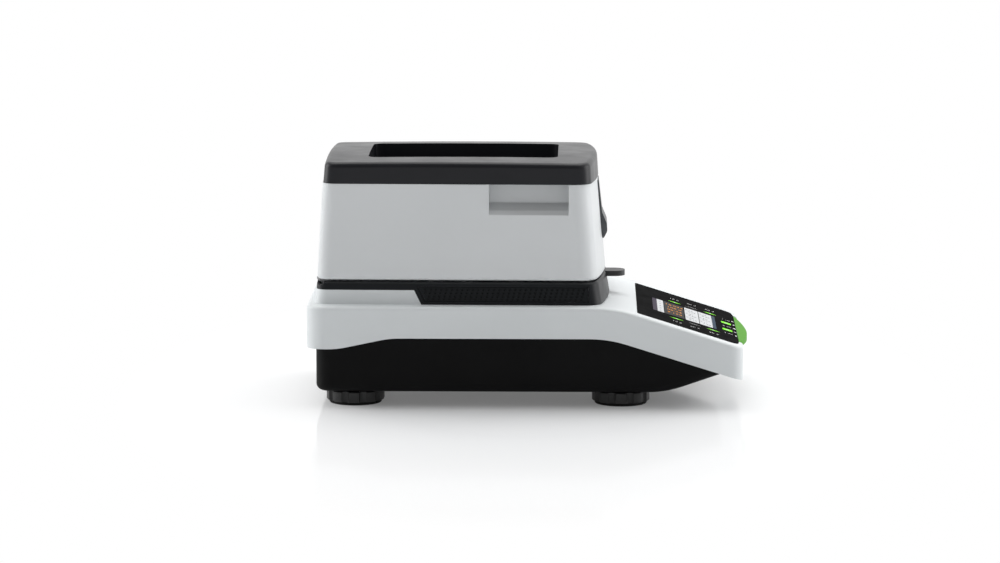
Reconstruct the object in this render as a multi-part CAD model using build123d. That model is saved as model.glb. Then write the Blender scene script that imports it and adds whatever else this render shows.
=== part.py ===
from build123d import *
import math
import os

# Halogen moisture analyzer: a precision balance under a hinged heating hood.
# Millimetres. +X points to the display end, +Z is up, Z = 0 is the table and the
# origin is the middle of the footprint.

os.makedirs("parts", exist_ok=True)

# Lengths from the rear end to the nose
hood_setback = 8.0
ring_length = 248.6
ring_flare = 3.0
knee_setback = 3.1
display_reach = 117.3

# Overall width
overall_width = 205.0

# Heights, stacked from the table up
foot_pad_thickness = 2.6
foot_wheel_thickness = 9.4
foot_wheel_gap = 1.0
tray_depth = 47.6
casing_band_height = 27.1
pedestal_height = 12.2
ring_height = 19.2
split_gap = 1.3
hood_height = 82.5
cap_height = 21.0

# Walls
casing_wall = 3.0
tray_wall = 3.0
ring_wall = 3.6
hood_wall = 2.8
cap_wall = 2.6

# Clearances
insert_gap = 0.25
running_gap = 0.05
slide_gap = 0.3

# Top casing
casing_rear_bow = 1.0
casing_front_bow = 2.2
casing_rear_corner = 16.0
casing_front_corner = 11.0
casing_edge_radius = 3.0
panel_slope = 17.4
knee_radius = 131.0
lower_knee_radius = 105.0
front_band_depth = 28.3
rear_skirt_drop = 9.5
rear_skirt_length = 27.0
rear_skirt_run = 45.0
rear_skirt_radius = 80.0
nose_overhang = 4.8

# Base tray
tray_rear_inset = 7.5
tray_side_inset = 6.5
tray_corner = 14.0
tray_edge_radius = 6.0
tray_rise_setback = 67.5
tray_rise_angle = 19.1
tray_rise_radius = 89.0
boss_radius = 5.0

# Levelling feet
foot_setback_rear = 41.0
foot_setback_front = 110.6
foot_side_setback = 36.5
foot_wheel_radius = 25.0
scallop_count = 10
scallop_radius = 4.2
scallop_depth = 2.2
foot_pad_radius = 22.5
stud_radius = 4.0
stud_length = 20.0
foot_pin_radius = 3.0
foot_pin_length = 5.0
foot_travel = 6.0
insert_radius = 7.0

# Vent ring and pedestal
ring_side_setback_rear = 18.5
ring_side_setback_front = 14.5
ring_rear_bow = 1.2
ring_front_bow = 9.0
ring_rear_corner = 11.0
ring_front_corner = 15.0
ring_chamfer = 1.5
pedestal_gap = 23.9
pedestal_slant = 6.2
pedestal_foot_radius = 4.0

# Side grilles
grille_rows = 4
grille_pitch = 4.5
grille_row_pitch = 3.7
grille_hole = 2.3
grille_thickness = 1.5
grille_inset = 0.3
grille_border = 2.6
grille_end_margin = 15.0

# Hood shell
hood_rear_lean = 5.0
hood_front_lean = 7.4
hood_side_lean = 1.4
hood_foot_radius = 2.5
pocket_length = 67.8
pocket_setback = 66.2
pocket_height = 26.0
pocket_depth = 13.0
pocket_ledge_drop = 5.6
grip_half_top = 17.0
grip_half_low = 22.0
grip_thickness = 1.4
grip_bulge = 4.6
grip_drop = 51.0

# Hood cap
cap_rear_lean = 1.8
cap_front_lean = 1.4
cap_edge_radius = 4.5
cap_crown_side = 1400.0
cap_crown_long = 7000.0
well_length = 163.0
well_width = 106.0
well_depth = 17.0
well_setback = 43.6
well_corner = 8.0
well_slat_count = 9
well_slat_width = 7.0

# Hinge
hinge_inset = 3.4
hinge_rise = 0.5
hinge_opening = 65.0
hinge_spread = 52.0
knuckle_length = 8.0
knuckle_gap = 0.4
knuckle_radius = 3.3
hinge_pin_radius = 1.5
trough_radius = 4.0
hinge_plate = 2.4

# Weighing chamber, measured about the pan's axis
pan_setback = 78.2
chamber_floor_thickness = 1.5
floor_gap = 0.8
draft_shield_radius = 62.0
draft_shield_wall = 1.5
draft_shield_height = 13.6
handler_outer = 53.0
handler_inner = 46.8
handler_thickness = 2.0
handler_gap = 0.8
handler_post_radius = 2.5
handle_width = 14.0
tab_width = 21.0
tab_thickness = 4.6
tab_reach = 13.5
tab_top_drop = 0.7
pan_radius = 45.0
pan_flange = 3.4
pan_depth = 6.6
pan_sheet = 0.6
support_arm_width = 4.0
support_thickness = 1.6
support_ring_radius = 36.0
support_stem_radius = 3.0
support_height = 6.4
pan_travel = 0.3

# Heating unit in the hood
plate_rise = 2.8
plate_thickness = 1.5
glass_radius = 57.0
glass_thickness = 3.0
glass_seat = 4.0
clamp_thickness = 1.5
clamp_rim = 7.0
clamp_lap = 5.0
reflector_radius = 61.0
reflector_height = 34.0
reflector_sheet = 1.0
reflector_flange = 3.2
lamp_ring_radius = 44.0
lamp_tube_radius = 4.5
lamp_height = 15.0
probe_radius = 2.5
cover_gap = 1.5
cover_sheet = 1.2

# Touch panel and status light
panel_setback = 23.6
panel_side_margin = 13.0
panel_thickness = 1.8
panel_corner = 7.0
status_side_margin = 30.5
status_depth = 9.6
status_thickness = 4.2
display_setback = 13.5
display_length = 60.0
display_half_width = 44.0
display_thickness = 6.0

# Inner pieces of the casing
cell_length = 76.0
cell_width = 26.0
cell_height = 22.0
bracket_thickness = 4.0
board_thickness = 1.6
board_length = 58.0
board_half = 52.0
bracket_half = 54.0

# Rear panel and its sockets
rear_panel_side_margin = 18.5
rear_panel_height = 27.0
rear_panel_thickness = 2.0
rear_panel_drop = 3.4
rear_panel_recess = 5.0
inlet_width = 46.0
inlet_height = 24.0
inlet_depth = 24.0
inlet_offset = 52.0
fuse_width = 11.0
fuse_travel = 14.0
switch_width = 15.0
switch_height = 21.0
switch_depth = 16.0
switch_offset = 12.0
rocker_tilt = 8.0
serial_offset = -22.0
usb_offset = -48.0
usb_pitch = 20.0

# Places worked out from the sizes above
overall_length = hood_setback + ring_length + ring_flare + knee_setback + display_reach
rear_x = -overall_length / 2
nose_x = overall_length / 2
casing_front_x = nose_x - nose_overhang
half_width = overall_width / 2
ring_half_rear = half_width - ring_side_setback_rear
ring_half_front = half_width - ring_side_setback_front
panel_half_width = half_width - panel_side_margin
status_half_width = half_width - status_side_margin
rear_panel_half = half_width - rear_panel_side_margin
foot_spread = half_width - foot_side_setback
tray_bottom_z = foot_pad_thickness + foot_wheel_thickness + foot_wheel_gap
parting_z = tray_bottom_z + tray_depth
shoulder_z = parting_z + casing_band_height
pedestal_top_z = shoulder_z + pedestal_height
ring_top_z = shoulder_z + ring_height
hood_base_z = ring_top_z + split_gap
cap_base_z = hood_base_z + hood_height
top_z = cap_base_z + cap_height
slope = math.tan(math.radians(panel_slope))
hood_rear_x = rear_x + hood_setback
ring_front_x = hood_rear_x + ring_length
knee_x = ring_front_x + ring_flare + knee_setback
pan_x = ring_front_x - pan_setback
hinge_x = hood_rear_x + hinge_inset
hinge_z = ring_top_z + hinge_rise
front_foot_x = nose_x - foot_setback_front
rear_foot_x = rear_x + foot_setback_rear
pedestal_front_x = pan_x - draft_shield_radius - pedestal_gap
cap_crown_x = (hood_rear_x + ring_front_x) / 2
chamber_floor_z = shoulder_z + chamber_floor_thickness
support_z = chamber_floor_z + support_height
pan_rim_z = support_z + pan_depth - pan_sheet
handler_z = pan_rim_z - handler_gap - handler_thickness
tray_rise_x = casing_front_x - tray_rise_setback
plate_z = hood_base_z + plate_rise
glass_z = plate_z + plate_thickness
clamp_z = glass_z + glass_thickness
reflector_z = clamp_z + clamp_thickness
panel_rear_x = ring_front_x + ring_flare + panel_setback
cell_top_z = shoulder_z - casing_wall - 3.0
rear_panel_top_z = shoulder_z - casing_wall - rear_panel_drop
rear_panel_z = rear_panel_top_z - rear_panel_height / 2
FAR = 400.0


def block(x0, x1, y0, y1, z0, z1):
    """Block between two opposite corners."""
    centre = ((x0 + x1) / 2, (y0 + y1) / 2, (z0 + z1) / 2)
    return Pos(*centre) * Box(x1 - x0, y1 - y0, z1 - z0)


def post(x, y, radius, z0, z1):
    """Round post or hole that stands along Z."""
    return Pos(x, y, (z0 + z1) / 2) * Cylinder(radius, z1 - z0)


def rod_y(x, z, radius, y0, y1):
    """Round rod or hole that lies along Y."""
    return Pos(x, (y0 + y1) / 2, z) * Rot(90, 0, 0) * Cylinder(radius, y1 - y0)


def rod_x(y, z, radius, x0, x1):
    """Round rod or hole that lies along X."""
    return Pos((x0 + x1) / 2, y, z) * Rot(0, 90, 0) * Cylinder(radius, x1 - x0)


def tube(x, y, outer, inner, z0, z1):
    """Round tube that stands along Z."""
    return post(x, y, outer, z0, z1) - post(x, y, inner, z0 - 1, z1 + 1)


def polygon(points):
    """Flat face with straight sides."""
    return make_face(Polyline(*points, close=True))


def round_corner(face, x, y, radius):
    """Round the corner of a flat face that lies nearest to a point."""
    corner = face.vertices().sort_by_distance((x, y, 0))[0]
    return fillet(corner, radius)


def side_slab(face, half):
    """Side view, drawn in X and Z, made as wide as the object about Y = 0."""
    return extrude(Plane.XZ * face, amount=half, both=True)


def plan(rear, front, half_rear, half_front, rear_bow, front_bow, rear_corner, front_corner):
    """Plan outline with straight sides, bowed ends and rounded corners."""
    rear_left = (rear + rear_bow, half_rear)
    rear_right = (rear + rear_bow, -half_rear)
    front_left = (front - front_bow, half_front)
    front_right = (front - front_bow, -half_front)
    sides = [
        ThreePointArc(rear_left, (rear, 0), rear_right),
        Line(rear_right, front_right),
        ThreePointArc(front_right, (front, 0), front_left),
        Line(front_left, rear_left),
    ]
    face = make_face(sides)
    face = round_corner(face, *rear_left, rear_corner)
    face = round_corner(face, *rear_right, rear_corner)
    face = round_corner(face, *front_left, front_corner)
    return round_corner(face, *front_right, front_corner)


def stand(face, z0, z1):
    """Plan outline extruded from one height to another."""
    return Pos(0, 0, z0) * extrude(face, amount=z1 - z0)


def loft_between(low_face, z0, high_face, z1):
    """Straight-sided body between two plan outlines."""
    return loft([Pos(0, 0, z0) * low_face, Pos(0, 0, z1) * high_face], ruled=True)


def mirrored(solid):
    """The same piece on the other side of the middle plane."""
    return mirror(solid, about=Plane.XZ)


def top_slope_z(x):
    """Height of the sloped top at X, in front of the knee."""
    return shoulder_z - (x - knee_x) * slope


def lower_slope_z(x):
    """Height of the sloped lower edge of the casing at X."""
    return top_slope_z(x) - front_band_depth


# Casing and tray


def parting_face(lift=0.0):
    """Side view of everything above the line where casing and tray meet."""
    low_z = parting_z - rear_skirt_drop + lift
    flat_z = parting_z + lift
    skirt_x = rear_x + rear_skirt_length
    flat_x = skirt_x + rear_skirt_run
    knee_low_x = knee_x + (shoulder_z - front_band_depth - parting_z) / slope
    points = [
        (-FAR, low_z),
        (skirt_x, low_z),
        (flat_x, flat_z),
        (knee_low_x, flat_z),
        (FAR, lower_slope_z(FAR) + lift),
        (FAR, FAR),
        (-FAR, FAR),
    ]
    face = polygon(points)
    face = round_corner(face, skirt_x, low_z, rear_skirt_radius)
    face = round_corner(face, flat_x, flat_z, rear_skirt_radius)
    return round_corner(face, knee_low_x, flat_z, lower_knee_radius)


def under_top_face(drop=0.0):
    """Side view of everything under the casing's top line."""
    points = [
        (-FAR, -FAR),
        (FAR, -FAR),
        (FAR, top_slope_z(FAR) - drop),
        (knee_x, shoulder_z - drop),
        (-FAR, shoulder_z - drop),
    ]
    return round_corner(polygon(points), knee_x, shoulder_z - drop, knee_radius)


def casing_plan(inset=0.0):
    """Plan outline of the top casing."""
    return plan(
        rear_x + inset,
        casing_front_x - inset,
        half_width - inset,
        half_width - inset,
        casing_rear_bow,
        casing_front_bow,
        casing_rear_corner - inset,
        casing_front_corner - inset,
    )


def ring_plan(spread=0.0):
    """Plan outline of the vent ring at its top edge, grown by a flare or shrunk by a wall."""
    return plan(
        hood_rear_x - spread * 0.6,
        ring_front_x + spread,
        ring_half_rear + spread,
        ring_half_front + spread,
        ring_rear_bow,
        ring_front_bow,
        ring_rear_corner + min(spread, 0),
        ring_front_corner + min(spread, 0),
    )


def pedestal_side():
    """Side view of the space that the pedestal takes, with its slanted front end."""
    return polygon(
        [
            (-FAR, shoulder_z - FAR),
            (pedestal_front_x + pedestal_slant, shoulder_z - FAR),
            (pedestal_front_x + pedestal_slant, shoulder_z),
            (pedestal_front_x, pedestal_top_z),
            (-FAR, pedestal_top_z),
        ]
    )


def pedestal_body():
    """Raised rear part of the casing, flush with the vent ring above it."""
    low = ring_plan(ring_flare)
    flared = loft_between(low, shoulder_z, ring_plan(), ring_top_z - ring_chamfer)
    return flared & side_slab(pedestal_side(), half_width)


def casing_edges(solid):
    """Outer edges along the top of the casing block."""
    return [
        edge
        for edge in solid.edges()
        if edge.center().Z > shoulder_z - FAR / 2
        and edge.center().Z > lower_slope_z(edge.center().X) + front_band_depth / 2
        and edge.bounding_box().size.X + edge.bounding_box().size.Y > casing_front_corner / 2
        and on_outline(edge)
    ]


def on_outline(edge):
    """True for an edge that runs round the casing, not across its top."""
    middle = edge @ 0.5
    at_side = abs(abs(middle.Y) - half_width) < casing_rear_corner
    at_end = middle.X < rear_x + casing_rear_corner or middle.X > casing_front_x - casing_front_corner
    return at_side or at_end


def top_casing():
    """White housing: hollow, open below, with the pedestal, the window and the rear wall."""
    block_shape = stand(casing_plan(), 0, FAR) & side_slab(under_top_face(), half_width + 1)
    block_shape = fillet(casing_edges(block_shape), casing_edge_radius)
    hollow = stand(casing_plan(casing_wall), -1, FAR) & side_slab(under_top_face(casing_wall), half_width)
    front_floor = side_slab(parting_face(casing_wall), half_width) & block(
        tray_tip_x() - tray_wall, casing_front_x, -half_width, half_width, 0, FAR
    )
    behind_tip = block(rear_x, tray_tip_x() - tray_wall, -half_width, half_width, 0, FAR)
    hollow = hollow & (behind_tip + front_floor)
    pedestal = pedestal_body()
    pedestal_hollow = loft_between(
        ring_plan(ring_flare - ring_wall), shoulder_z, ring_plan(-ring_wall), ring_top_z - ring_chamfer
    ) & side_slab(pedestal_side(), half_width)
    pedestal_hollow = Pos(0, 0, -casing_wall) * pedestal_hollow & block(
        rear_x, pedestal_front_x - casing_wall, -half_width, half_width, shoulder_z - casing_wall - 1, FAR
    )
    shell = (block_shape & side_slab(parting_face(), half_width + 1)) + pedestal
    shell = shell - hollow - pedestal_hollow
    shell = shell - post(pan_x, 0, support_stem_radius * 3, shoulder_z - casing_wall - 1, shoulder_z + 1)
    shell = shell - panel_recess() - status_recess() - display_window()
    return shell + rear_panel_frame() - rear_panel_hole() + casing_bosses()


def tray_tip_x():
    """X where the rising tray meets the casing's lower edge."""
    rise = math.tan(math.radians(tray_rise_angle))
    gap_at_rise = lower_slope_z(tray_rise_x) - tray_bottom_z
    return tray_rise_x + gap_at_rise / (rise + slope)


def tray_side_face(inset=0.0):
    """Side view of the tray: flat bottom, rising front, open upward."""
    rise = math.tan(math.radians(tray_rise_angle))
    bottom_z = tray_bottom_z + inset
    points = [
        (-FAR, bottom_z),
        (tray_rise_x, bottom_z),
        (tray_rise_x + FAR, bottom_z + FAR * rise),
        (tray_rise_x + FAR, 2 * FAR),
        (-FAR, 2 * FAR),
    ]
    return round_corner(polygon(points), tray_rise_x, bottom_z, tray_rise_radius)


def tray_plan(inset=0.0):
    """Plan outline of the base tray."""
    side = half_width - tray_side_inset - inset
    return plan(
        rear_x + tray_rear_inset + inset,
        casing_front_x - casing_wall - inset,
        side,
        side,
        casing_rear_bow,
        casing_front_bow,
        tray_corner - inset,
        casing_front_corner - casing_wall,
    )


def tray_bottom_edges(solid):
    """Lower outer edges of the tray block."""
    limit = tray_bottom_z + 1.0
    return [
        edge
        for edge in solid.edges()
        if edge.center().Z < limit and abs(edge.center().Y) + abs(edge.center().X) > half_width / 2
    ]


def foot_places():
    """Centres of the four levelling feet, by name."""
    return {
        "rear_left": (rear_foot_x, foot_spread),
        "rear_right": (rear_foot_x, -foot_spread),
        "front_left": (front_foot_x, foot_spread),
        "front_right": (front_foot_x, -foot_spread),
    }


def base_tray():
    """Black tray that carries the feet, the weighing cell and the boards."""
    outer = stand(tray_plan(), 0, FAR) & side_slab(tray_side_face(), half_width)
    outer = fillet(tray_bottom_edges(outer), tray_edge_radius)
    above = side_slab(parting_face(), half_width + 1)
    inner = stand(tray_plan(tray_wall), 0, FAR) & side_slab(tray_side_face(tray_wall), half_width)
    tray = outer - above - inner
    for x, y in foot_places().values():
        tray += post(x, y, insert_radius + 3, tray_bottom_z + 1, tray_bottom_z + stud_length)
    for x, y in cell_bosses():
        tray += post(x, y, boss_radius, tray_bottom_z + 1, bracket_z())
    for x, y in board_bosses() + supply_bosses():
        tray += post(x, y, boss_radius * 0.8, tray_bottom_z + 1, board_z())
    for x, y in foot_places().values():
        tray -= post(x, y, insert_radius, tray_bottom_z - 1, tray_bottom_z + stud_length + 1)
    for x, y in screw_places():
        tray += post(x, y, boss_radius, tray_bottom_z + 1, parting_z - rear_skirt_drop - 1)
        tray -= post(x, y, screw_radius() + insert_gap, 0, parting_z)
        tray -= post(x, y, screw_radius() * 2, 0, tray_bottom_z + tray_wall + 2)
    return tray


def screw_radius():
    """Radius of the screws that join the tray to the casing."""
    return 2.0


def screw_places():
    """Places of the casing screws."""
    front_x = front_foot_x - insert_radius * 4
    rear_screw_x = rear_foot_x + insert_radius * 4
    side = half_width - tray_side_inset - tray_wall - boss_radius - 1
    return [(front_x, side), (front_x, -side), (rear_screw_x, side), (rear_screw_x, -side)]


def casing_bosses():
    """Posts in the casing that take the screws from the tray."""
    return [
        post(x, y, boss_radius, parting_z - rear_skirt_drop - 1, shoulder_z - casing_wall + 0.5)
        - post(x, y, screw_radius(), 0, parting_z + 8)
        for x, y in screw_places()
    ]


def casing_screws():
    """Pan-head screws from below."""
    screws = []
    for x, y in screw_places():
        head_z = tray_bottom_z + tray_wall + 2
        screws.append(
            post(x, y, screw_radius(), head_z - 1, parting_z + 7)
            + post(x, y, screw_radius() * 1.8, head_z - 2, head_z)
        )
    return screws


def foot_inserts():
    """Threaded bushes that the feet screw into."""
    return [
        tube(x, y, insert_radius, stud_radius + running_gap, tray_bottom_z, tray_bottom_z + stud_length)
        for x, y in foot_places().values()
    ]


def foot_wheel(x, y):
    """Scalloped thumb wheel with its stud and the socket for the pad's pin."""
    z0 = foot_pad_thickness
    z1 = z0 + foot_wheel_thickness
    disc = post(x, y, foot_wheel_radius, z0, z1)
    rims = disc.edges().filter_by(GeomType.CIRCLE)
    disc = chamfer(rims, 0.8)
    for turn in range(scallop_count):
        angle = 2 * math.pi * turn / scallop_count
        reach = foot_wheel_radius + scallop_radius - scallop_depth
        disc -= post(
            x + reach * math.cos(angle), y + reach * math.sin(angle), scallop_radius, z0 - 1, z1 + 1
        )
    wheel = disc + post(x, y, stud_radius, z1 - 1, z1 + stud_length - 2)
    return wheel - post(x, y, foot_pin_radius + running_gap, z0 - 1, z0 + foot_pin_length + slide_gap)


def foot_pad(x, y):
    """Non-turning pad under a wheel, on its pin."""
    pad = post(x, y, foot_pad_radius, 0, foot_pad_thickness - slide_gap)
    pad = chamfer(pad.edges().filter_by(GeomType.CIRCLE), 0.6)
    return pad + post(x, y, foot_pin_radius, foot_pad_thickness - slide_gap - 1, foot_pad_thickness + foot_pin_length)


# Vent ring and grilles


def ring_body(z_low, spread=0.0):
    """Flared band of the vent ring between a height and its top chamfer."""
    edge_z = ring_top_z - ring_chamfer
    share = (edge_z - z_low) / (edge_z - shoulder_z)
    return loft_between(ring_plan(ring_flare * share + spread), z_low, ring_plan(spread), edge_z)


def grille_window(growth=0.0):
    """Side view of the opening for the perforated plates."""
    low = shoulder_z + grille_border - growth
    high = ring_top_z - ring_chamfer - grille_border + growth
    lean = pedestal_slant / pedestal_height
    rear_low = pedestal_front_x + pedestal_slant + grille_border - growth
    rear_high = rear_low - (high - low) * lean
    front_end = ring_front_x - grille_end_margin + growth
    return polygon([(rear_low, low), (front_end, low), (front_end, high), (rear_high, high)])


def vent_ring():
    """Dark band between casing and hood, with a window on each side."""
    edge_z = ring_top_z - ring_chamfer
    outer = ring_body(shoulder_z) + loft_between(ring_plan(), edge_z, ring_plan(-ring_chamfer), ring_top_z)
    inner = loft_between(
        ring_plan(ring_flare - ring_wall), shoulder_z - 1, ring_plan(-ring_wall), ring_top_z + 1
    )
    ring = outer - inner - side_slab(pedestal_side(), half_width)
    ring -= side_slab(grille_window(), half_width)
    ring -= rod_y(hinge_x, hinge_z, trough_radius, -ring_half_rear * 2, ring_half_rear * 2)
    notch_half = tab_width / 2 + 1.0
    notch_z = ring_top_z - tab_top_drop - tab_thickness - 1.0
    return ring - block(ring_front_x - 30, ring_front_x + 10, -notch_half, notch_half, notch_z, FAR)


def grille(side):
    """Perforated plate of one side, with staggered rows of square-cut holes."""
    thick = ring_body(shoulder_z, -grille_inset) - ring_body(shoulder_z - 0.01, -grille_inset - grille_thickness)
    window = side_slab(grille_window(-insert_gap), half_width)
    half = block(-FAR, FAR, 0, FAR, 0, FAR)
    plate = thick & window & half
    plate -= grille_holes()
    return plate if side > 0 else mirrored(plate)


def grille_holes():
    """Rows of holes through one side plate."""
    low = shoulder_z + grille_border
    high = ring_top_z - ring_chamfer - grille_border
    middle_z = (low + high) / 2
    lean = pedestal_slant / pedestal_height
    cutter = Rot(90, 0, 0) * extrude(Rot(0, 0, 45) * Rectangle(grille_hole * 0.82, grille_hole * 0.82), 20)
    cutters = []
    for row in range(grille_rows):
        z = middle_z + (row - (grille_rows - 1) / 2) * grille_row_pitch
        start = pedestal_front_x + pedestal_slant + grille_border - (z - low) * lean + grille_pitch * 0.8
        x = start + (row % 2) * grille_pitch / 2
        while x < ring_front_x - grille_end_margin - grille_pitch * 0.6:
            cutters.append(Pos(x, ring_half_front + ring_flare + 5, z) * cutter)
            x += grille_pitch
    return cutters


# Hood


def hood_plan(share, spread=0.0):
    """Plan outline of the hood at a share of its height."""
    return plan(
        hood_rear_x + hood_rear_lean * share - spread,
        ring_front_x - 0.4 - hood_front_lean * share + spread,
        ring_half_rear - 0.6 - hood_side_lean * share + spread,
        ring_half_front - 0.6 - hood_side_lean * share + spread,
        ring_rear_bow,
        ring_front_bow,
        ring_rear_corner + min(spread, 0),
        ring_front_corner + min(spread, 0),
    )


def hood_body(spread=0.0):
    """Leaning body of the hood between its foot and the cap."""
    return loft_between(hood_plan(0, spread), hood_base_z, hood_plan(1, spread), cap_base_z)


def hood_half_at(z):
    """Half width of the hood's side near its middle at a height."""
    share = (z - hood_base_z) / hood_height
    return (ring_half_rear + ring_half_front) / 2 - 0.6 - hood_side_lean * share


def pocket_face(growth=0.0):
    """Cross-section of the finger pocket in Y and Z, on the +Y side."""
    mouth = half_width
    low_z = cap_base_z - pocket_height
    face_y = hood_half_at(low_z)
    back_y = face_y - pocket_depth
    ledge_back_z = low_z + pocket_ledge_drop + 3.4
    ledge_front_z = low_z + 3.4
    return polygon(
        [
            (mouth, low_z - growth),
            (face_y + 0.5, low_z - growth),
            (face_y - 3.0 - growth, ledge_front_z - growth),
            (back_y - growth, ledge_back_z - growth),
            (back_y - growth, cap_base_z + 1),
            (mouth, cap_base_z + 1),
        ]
    )


def pocket(growth=0.0):
    """Finger pocket as a solid, on the +Y side."""
    middle_x = ring_front_x - pocket_setback
    length = pocket_length + 2 * growth
    return Pos(middle_x - length / 2, 0, 0) * extrude(Plane.YZ * pocket_face(growth), amount=length)


def hinge_notches(radius):
    """Round clearances along the hinge axis, one for each hinge."""
    half = hinge_half_length() + 0.6
    return [
        rod_y(hinge_x, hinge_z, radius, side * hinge_spread - half, side * hinge_spread + half)
        for side in (-1, 1)
    ]


def hinge_half_length():
    """Half the length of one three-knuckle hinge."""
    return knuckle_length * 1.5 + knuckle_gap


def hood_shell():
    """White hood: leaning walls, open above and below, with two finger pockets."""
    outer = hood_body()
    rear_foot = [
        edge
        for edge in outer.edges()
        if edge.center().Z < hood_base_z + 0.1 and edge.center().X < hood_rear_x + ring_rear_corner
    ]
    outer = fillet(rear_foot, hood_foot_radius)
    inner = loft_between(
        hood_plan(-0.01, -hood_wall), hood_base_z - 0.01 * hood_height, hood_plan(1.01, -hood_wall),
        cap_base_z + 0.01 * hood_height,
    )
    shell = outer - inner
    liner = pocket(hood_wall) & hood_body(-hood_wall / 2)
    negative = pocket()
    shell = shell + liner + mirrored(liner) - negative - mirrored(negative)
    shell -= hinge_notches(trough_radius)
    for x, y in plate_screw_places():
        shell += post(x, y, 4.6, plate_z + plate_thickness, plate_z + 16) & hood_body(-hood_wall / 2)
    for x, y in plate_screw_places():
        shell -= post(x, y, 1.5, plate_z - 1, plate_z + 12)
    return shell


def plate_screw_places():
    """Screws that hold the base plate to the hood."""
    rear = hood_rear_x + 30.0
    middle = pan_x - 72.0
    front = ring_front_x - ring_front_bow - 14.0
    return [(x, side * hood_inner_y(x)) for x in (rear, middle, front) for side in (1, -1)]


def hood_inner_y(x):
    """Y of a screw post that stands against the hood's side wall at X."""
    share = (x - hood_rear_x) / ring_length
    half = ring_half_rear + (ring_half_front - ring_half_rear) * share
    return half - 0.6 - hood_wall - 4.0


def hood_base_plate():
    """Steel plate that closes the hood from below, with the round window for the heat."""
    inside = loft_between(
        hood_plan(0, -hood_wall - insert_gap), plate_z, hood_plan(0.02, -hood_wall - insert_gap),
        plate_z + plate_thickness,
    )
    plate = inside - post(pan_x, 0, glass_radius - glass_seat, 0, FAR)
    for x, y in plate_screw_places():
        plate -= post(x, y, 1.8, 0, FAR)
    half = hinge_half_length() + 0.6
    for side in (-1, 1):
        middle = side * hinge_spread
        plate -= block(rear_x, hinge_x + hinge_plate + 1.3, middle - half, middle + half, 0, FAR)
    return plate


def hood_plate_screws():
    """Small screws with round heads under the base plate."""
    return [
        post(x, y, 1.5, plate_z - 0.5, plate_z + 11) + post(x, y, 3.0, plate_z - 1.6, plate_z)
        for x, y in plate_screw_places()
    ]


def front_grip():
    """Dark strip down the middle of the hood's front, with a bulge for the fingers."""
    top_share = 0.96
    top_x = front_at(top_share)
    low_z = cap_base_z - grip_drop - 4.0
    low_share = (low_z - hood_base_z) / hood_height
    points = [
        (top_x - 8, cap_base_z - 4),
        (top_x + grip_thickness * 0.6, cap_base_z - 4),
        (front_at(0.62) + grip_thickness, hood_base_z + 0.62 * hood_height),
        (front_at(0.5) + grip_bulge, hood_base_z + 0.5 * hood_height),
        (front_at(0.42) + grip_bulge, hood_base_z + 0.42 * hood_height),
        (front_at(low_share) + 0.6, low_z),
        (front_at(low_share) - 8, low_z),
    ]
    face = polygon(points)
    for share, reach in ((0.62, grip_thickness), (0.5, grip_bulge), (0.42, grip_bulge)):
        face = round_corner(face, front_at(share) + reach, hood_base_z + share * hood_height, 6.0)
    strip = side_slab(face, half_width)
    outline = polygon(
        [
            (-grip_half_top, cap_base_z - 4),
            (grip_half_top, cap_base_z - 4),
            (grip_half_low, low_z + 14),
            (grip_half_low, low_z),
            (-grip_half_low, low_z),
            (-grip_half_low, low_z + 14),
        ]
    )
    for y in (grip_half_low, -grip_half_low):
        outline = round_corner(outline, y, low_z, 8.0)
        outline = round_corner(outline, y, low_z + 14, 20.0)
    mask = Pos(ring_front_x - 40, 0, 0) * extrude(Plane.YZ * outline, amount=80)
    return (strip & mask) - hood_body()


def front_at(share):
    """X of the hood's front face on the middle plane at a share of its height."""
    return ring_front_x - 0.4 - hood_front_lean * share


def cap_plan(share, spread=0.0):
    """Plan outline of the cap at a share of its height."""
    return plan(
        hood_rear_x + hood_rear_lean + 0.6 + cap_rear_lean * share - spread,
        front_at(1) + 0.8 - cap_front_lean * share + spread,
        ring_half_rear - 1.0 - hood_side_lean * (1 + 0.3 * share) + spread,
        ring_half_front + 0.2 - hood_side_lean * (1 + 0.3 * share) + spread,
        ring_rear_bow,
        ring_front_bow - 1.0,
        ring_rear_corner + min(spread, 0),
        ring_front_corner + min(spread, 0),
    )


def crown_body(drop=0.0):
    """Large body under the doubly curved top of the cap."""
    reach = half_width
    side_drop = reach * reach / (2 * cap_crown_side)
    sides = [
        ThreePointArc((-reach, top_z - drop - side_drop), (0, top_z - drop), (reach, top_z - drop - side_drop)),
        Polyline(
            (reach, top_z - drop - side_drop),
            (reach, hood_base_z),
            (-reach, hood_base_z),
            (-reach, top_z - drop - side_drop),
        ),
    ]
    section = Pos(cap_crown_x, 0, 0) * (Plane.YZ * make_face(sides))
    axis = Axis((cap_crown_x, 0, top_z - cap_crown_long), (0, 1, 0))
    sweep_angle = 4.0
    return revolve(section.rotate(axis, -sweep_angle / 2), axis, sweep_angle)


def well_body(growth=0.0, z0=0.0, z1=FAR):
    """Rounded rectangular block for the well in the cap's top."""
    outline = RectangleRounded(well_length + 2 * growth, well_width + 2 * growth, well_corner + growth)
    return Pos(well_x(), 0, 0) * stand(outline, z0, z1)


def well_x():
    """X of the well's middle."""
    return front_at(1) - 34.0 - well_length / 2


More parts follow.
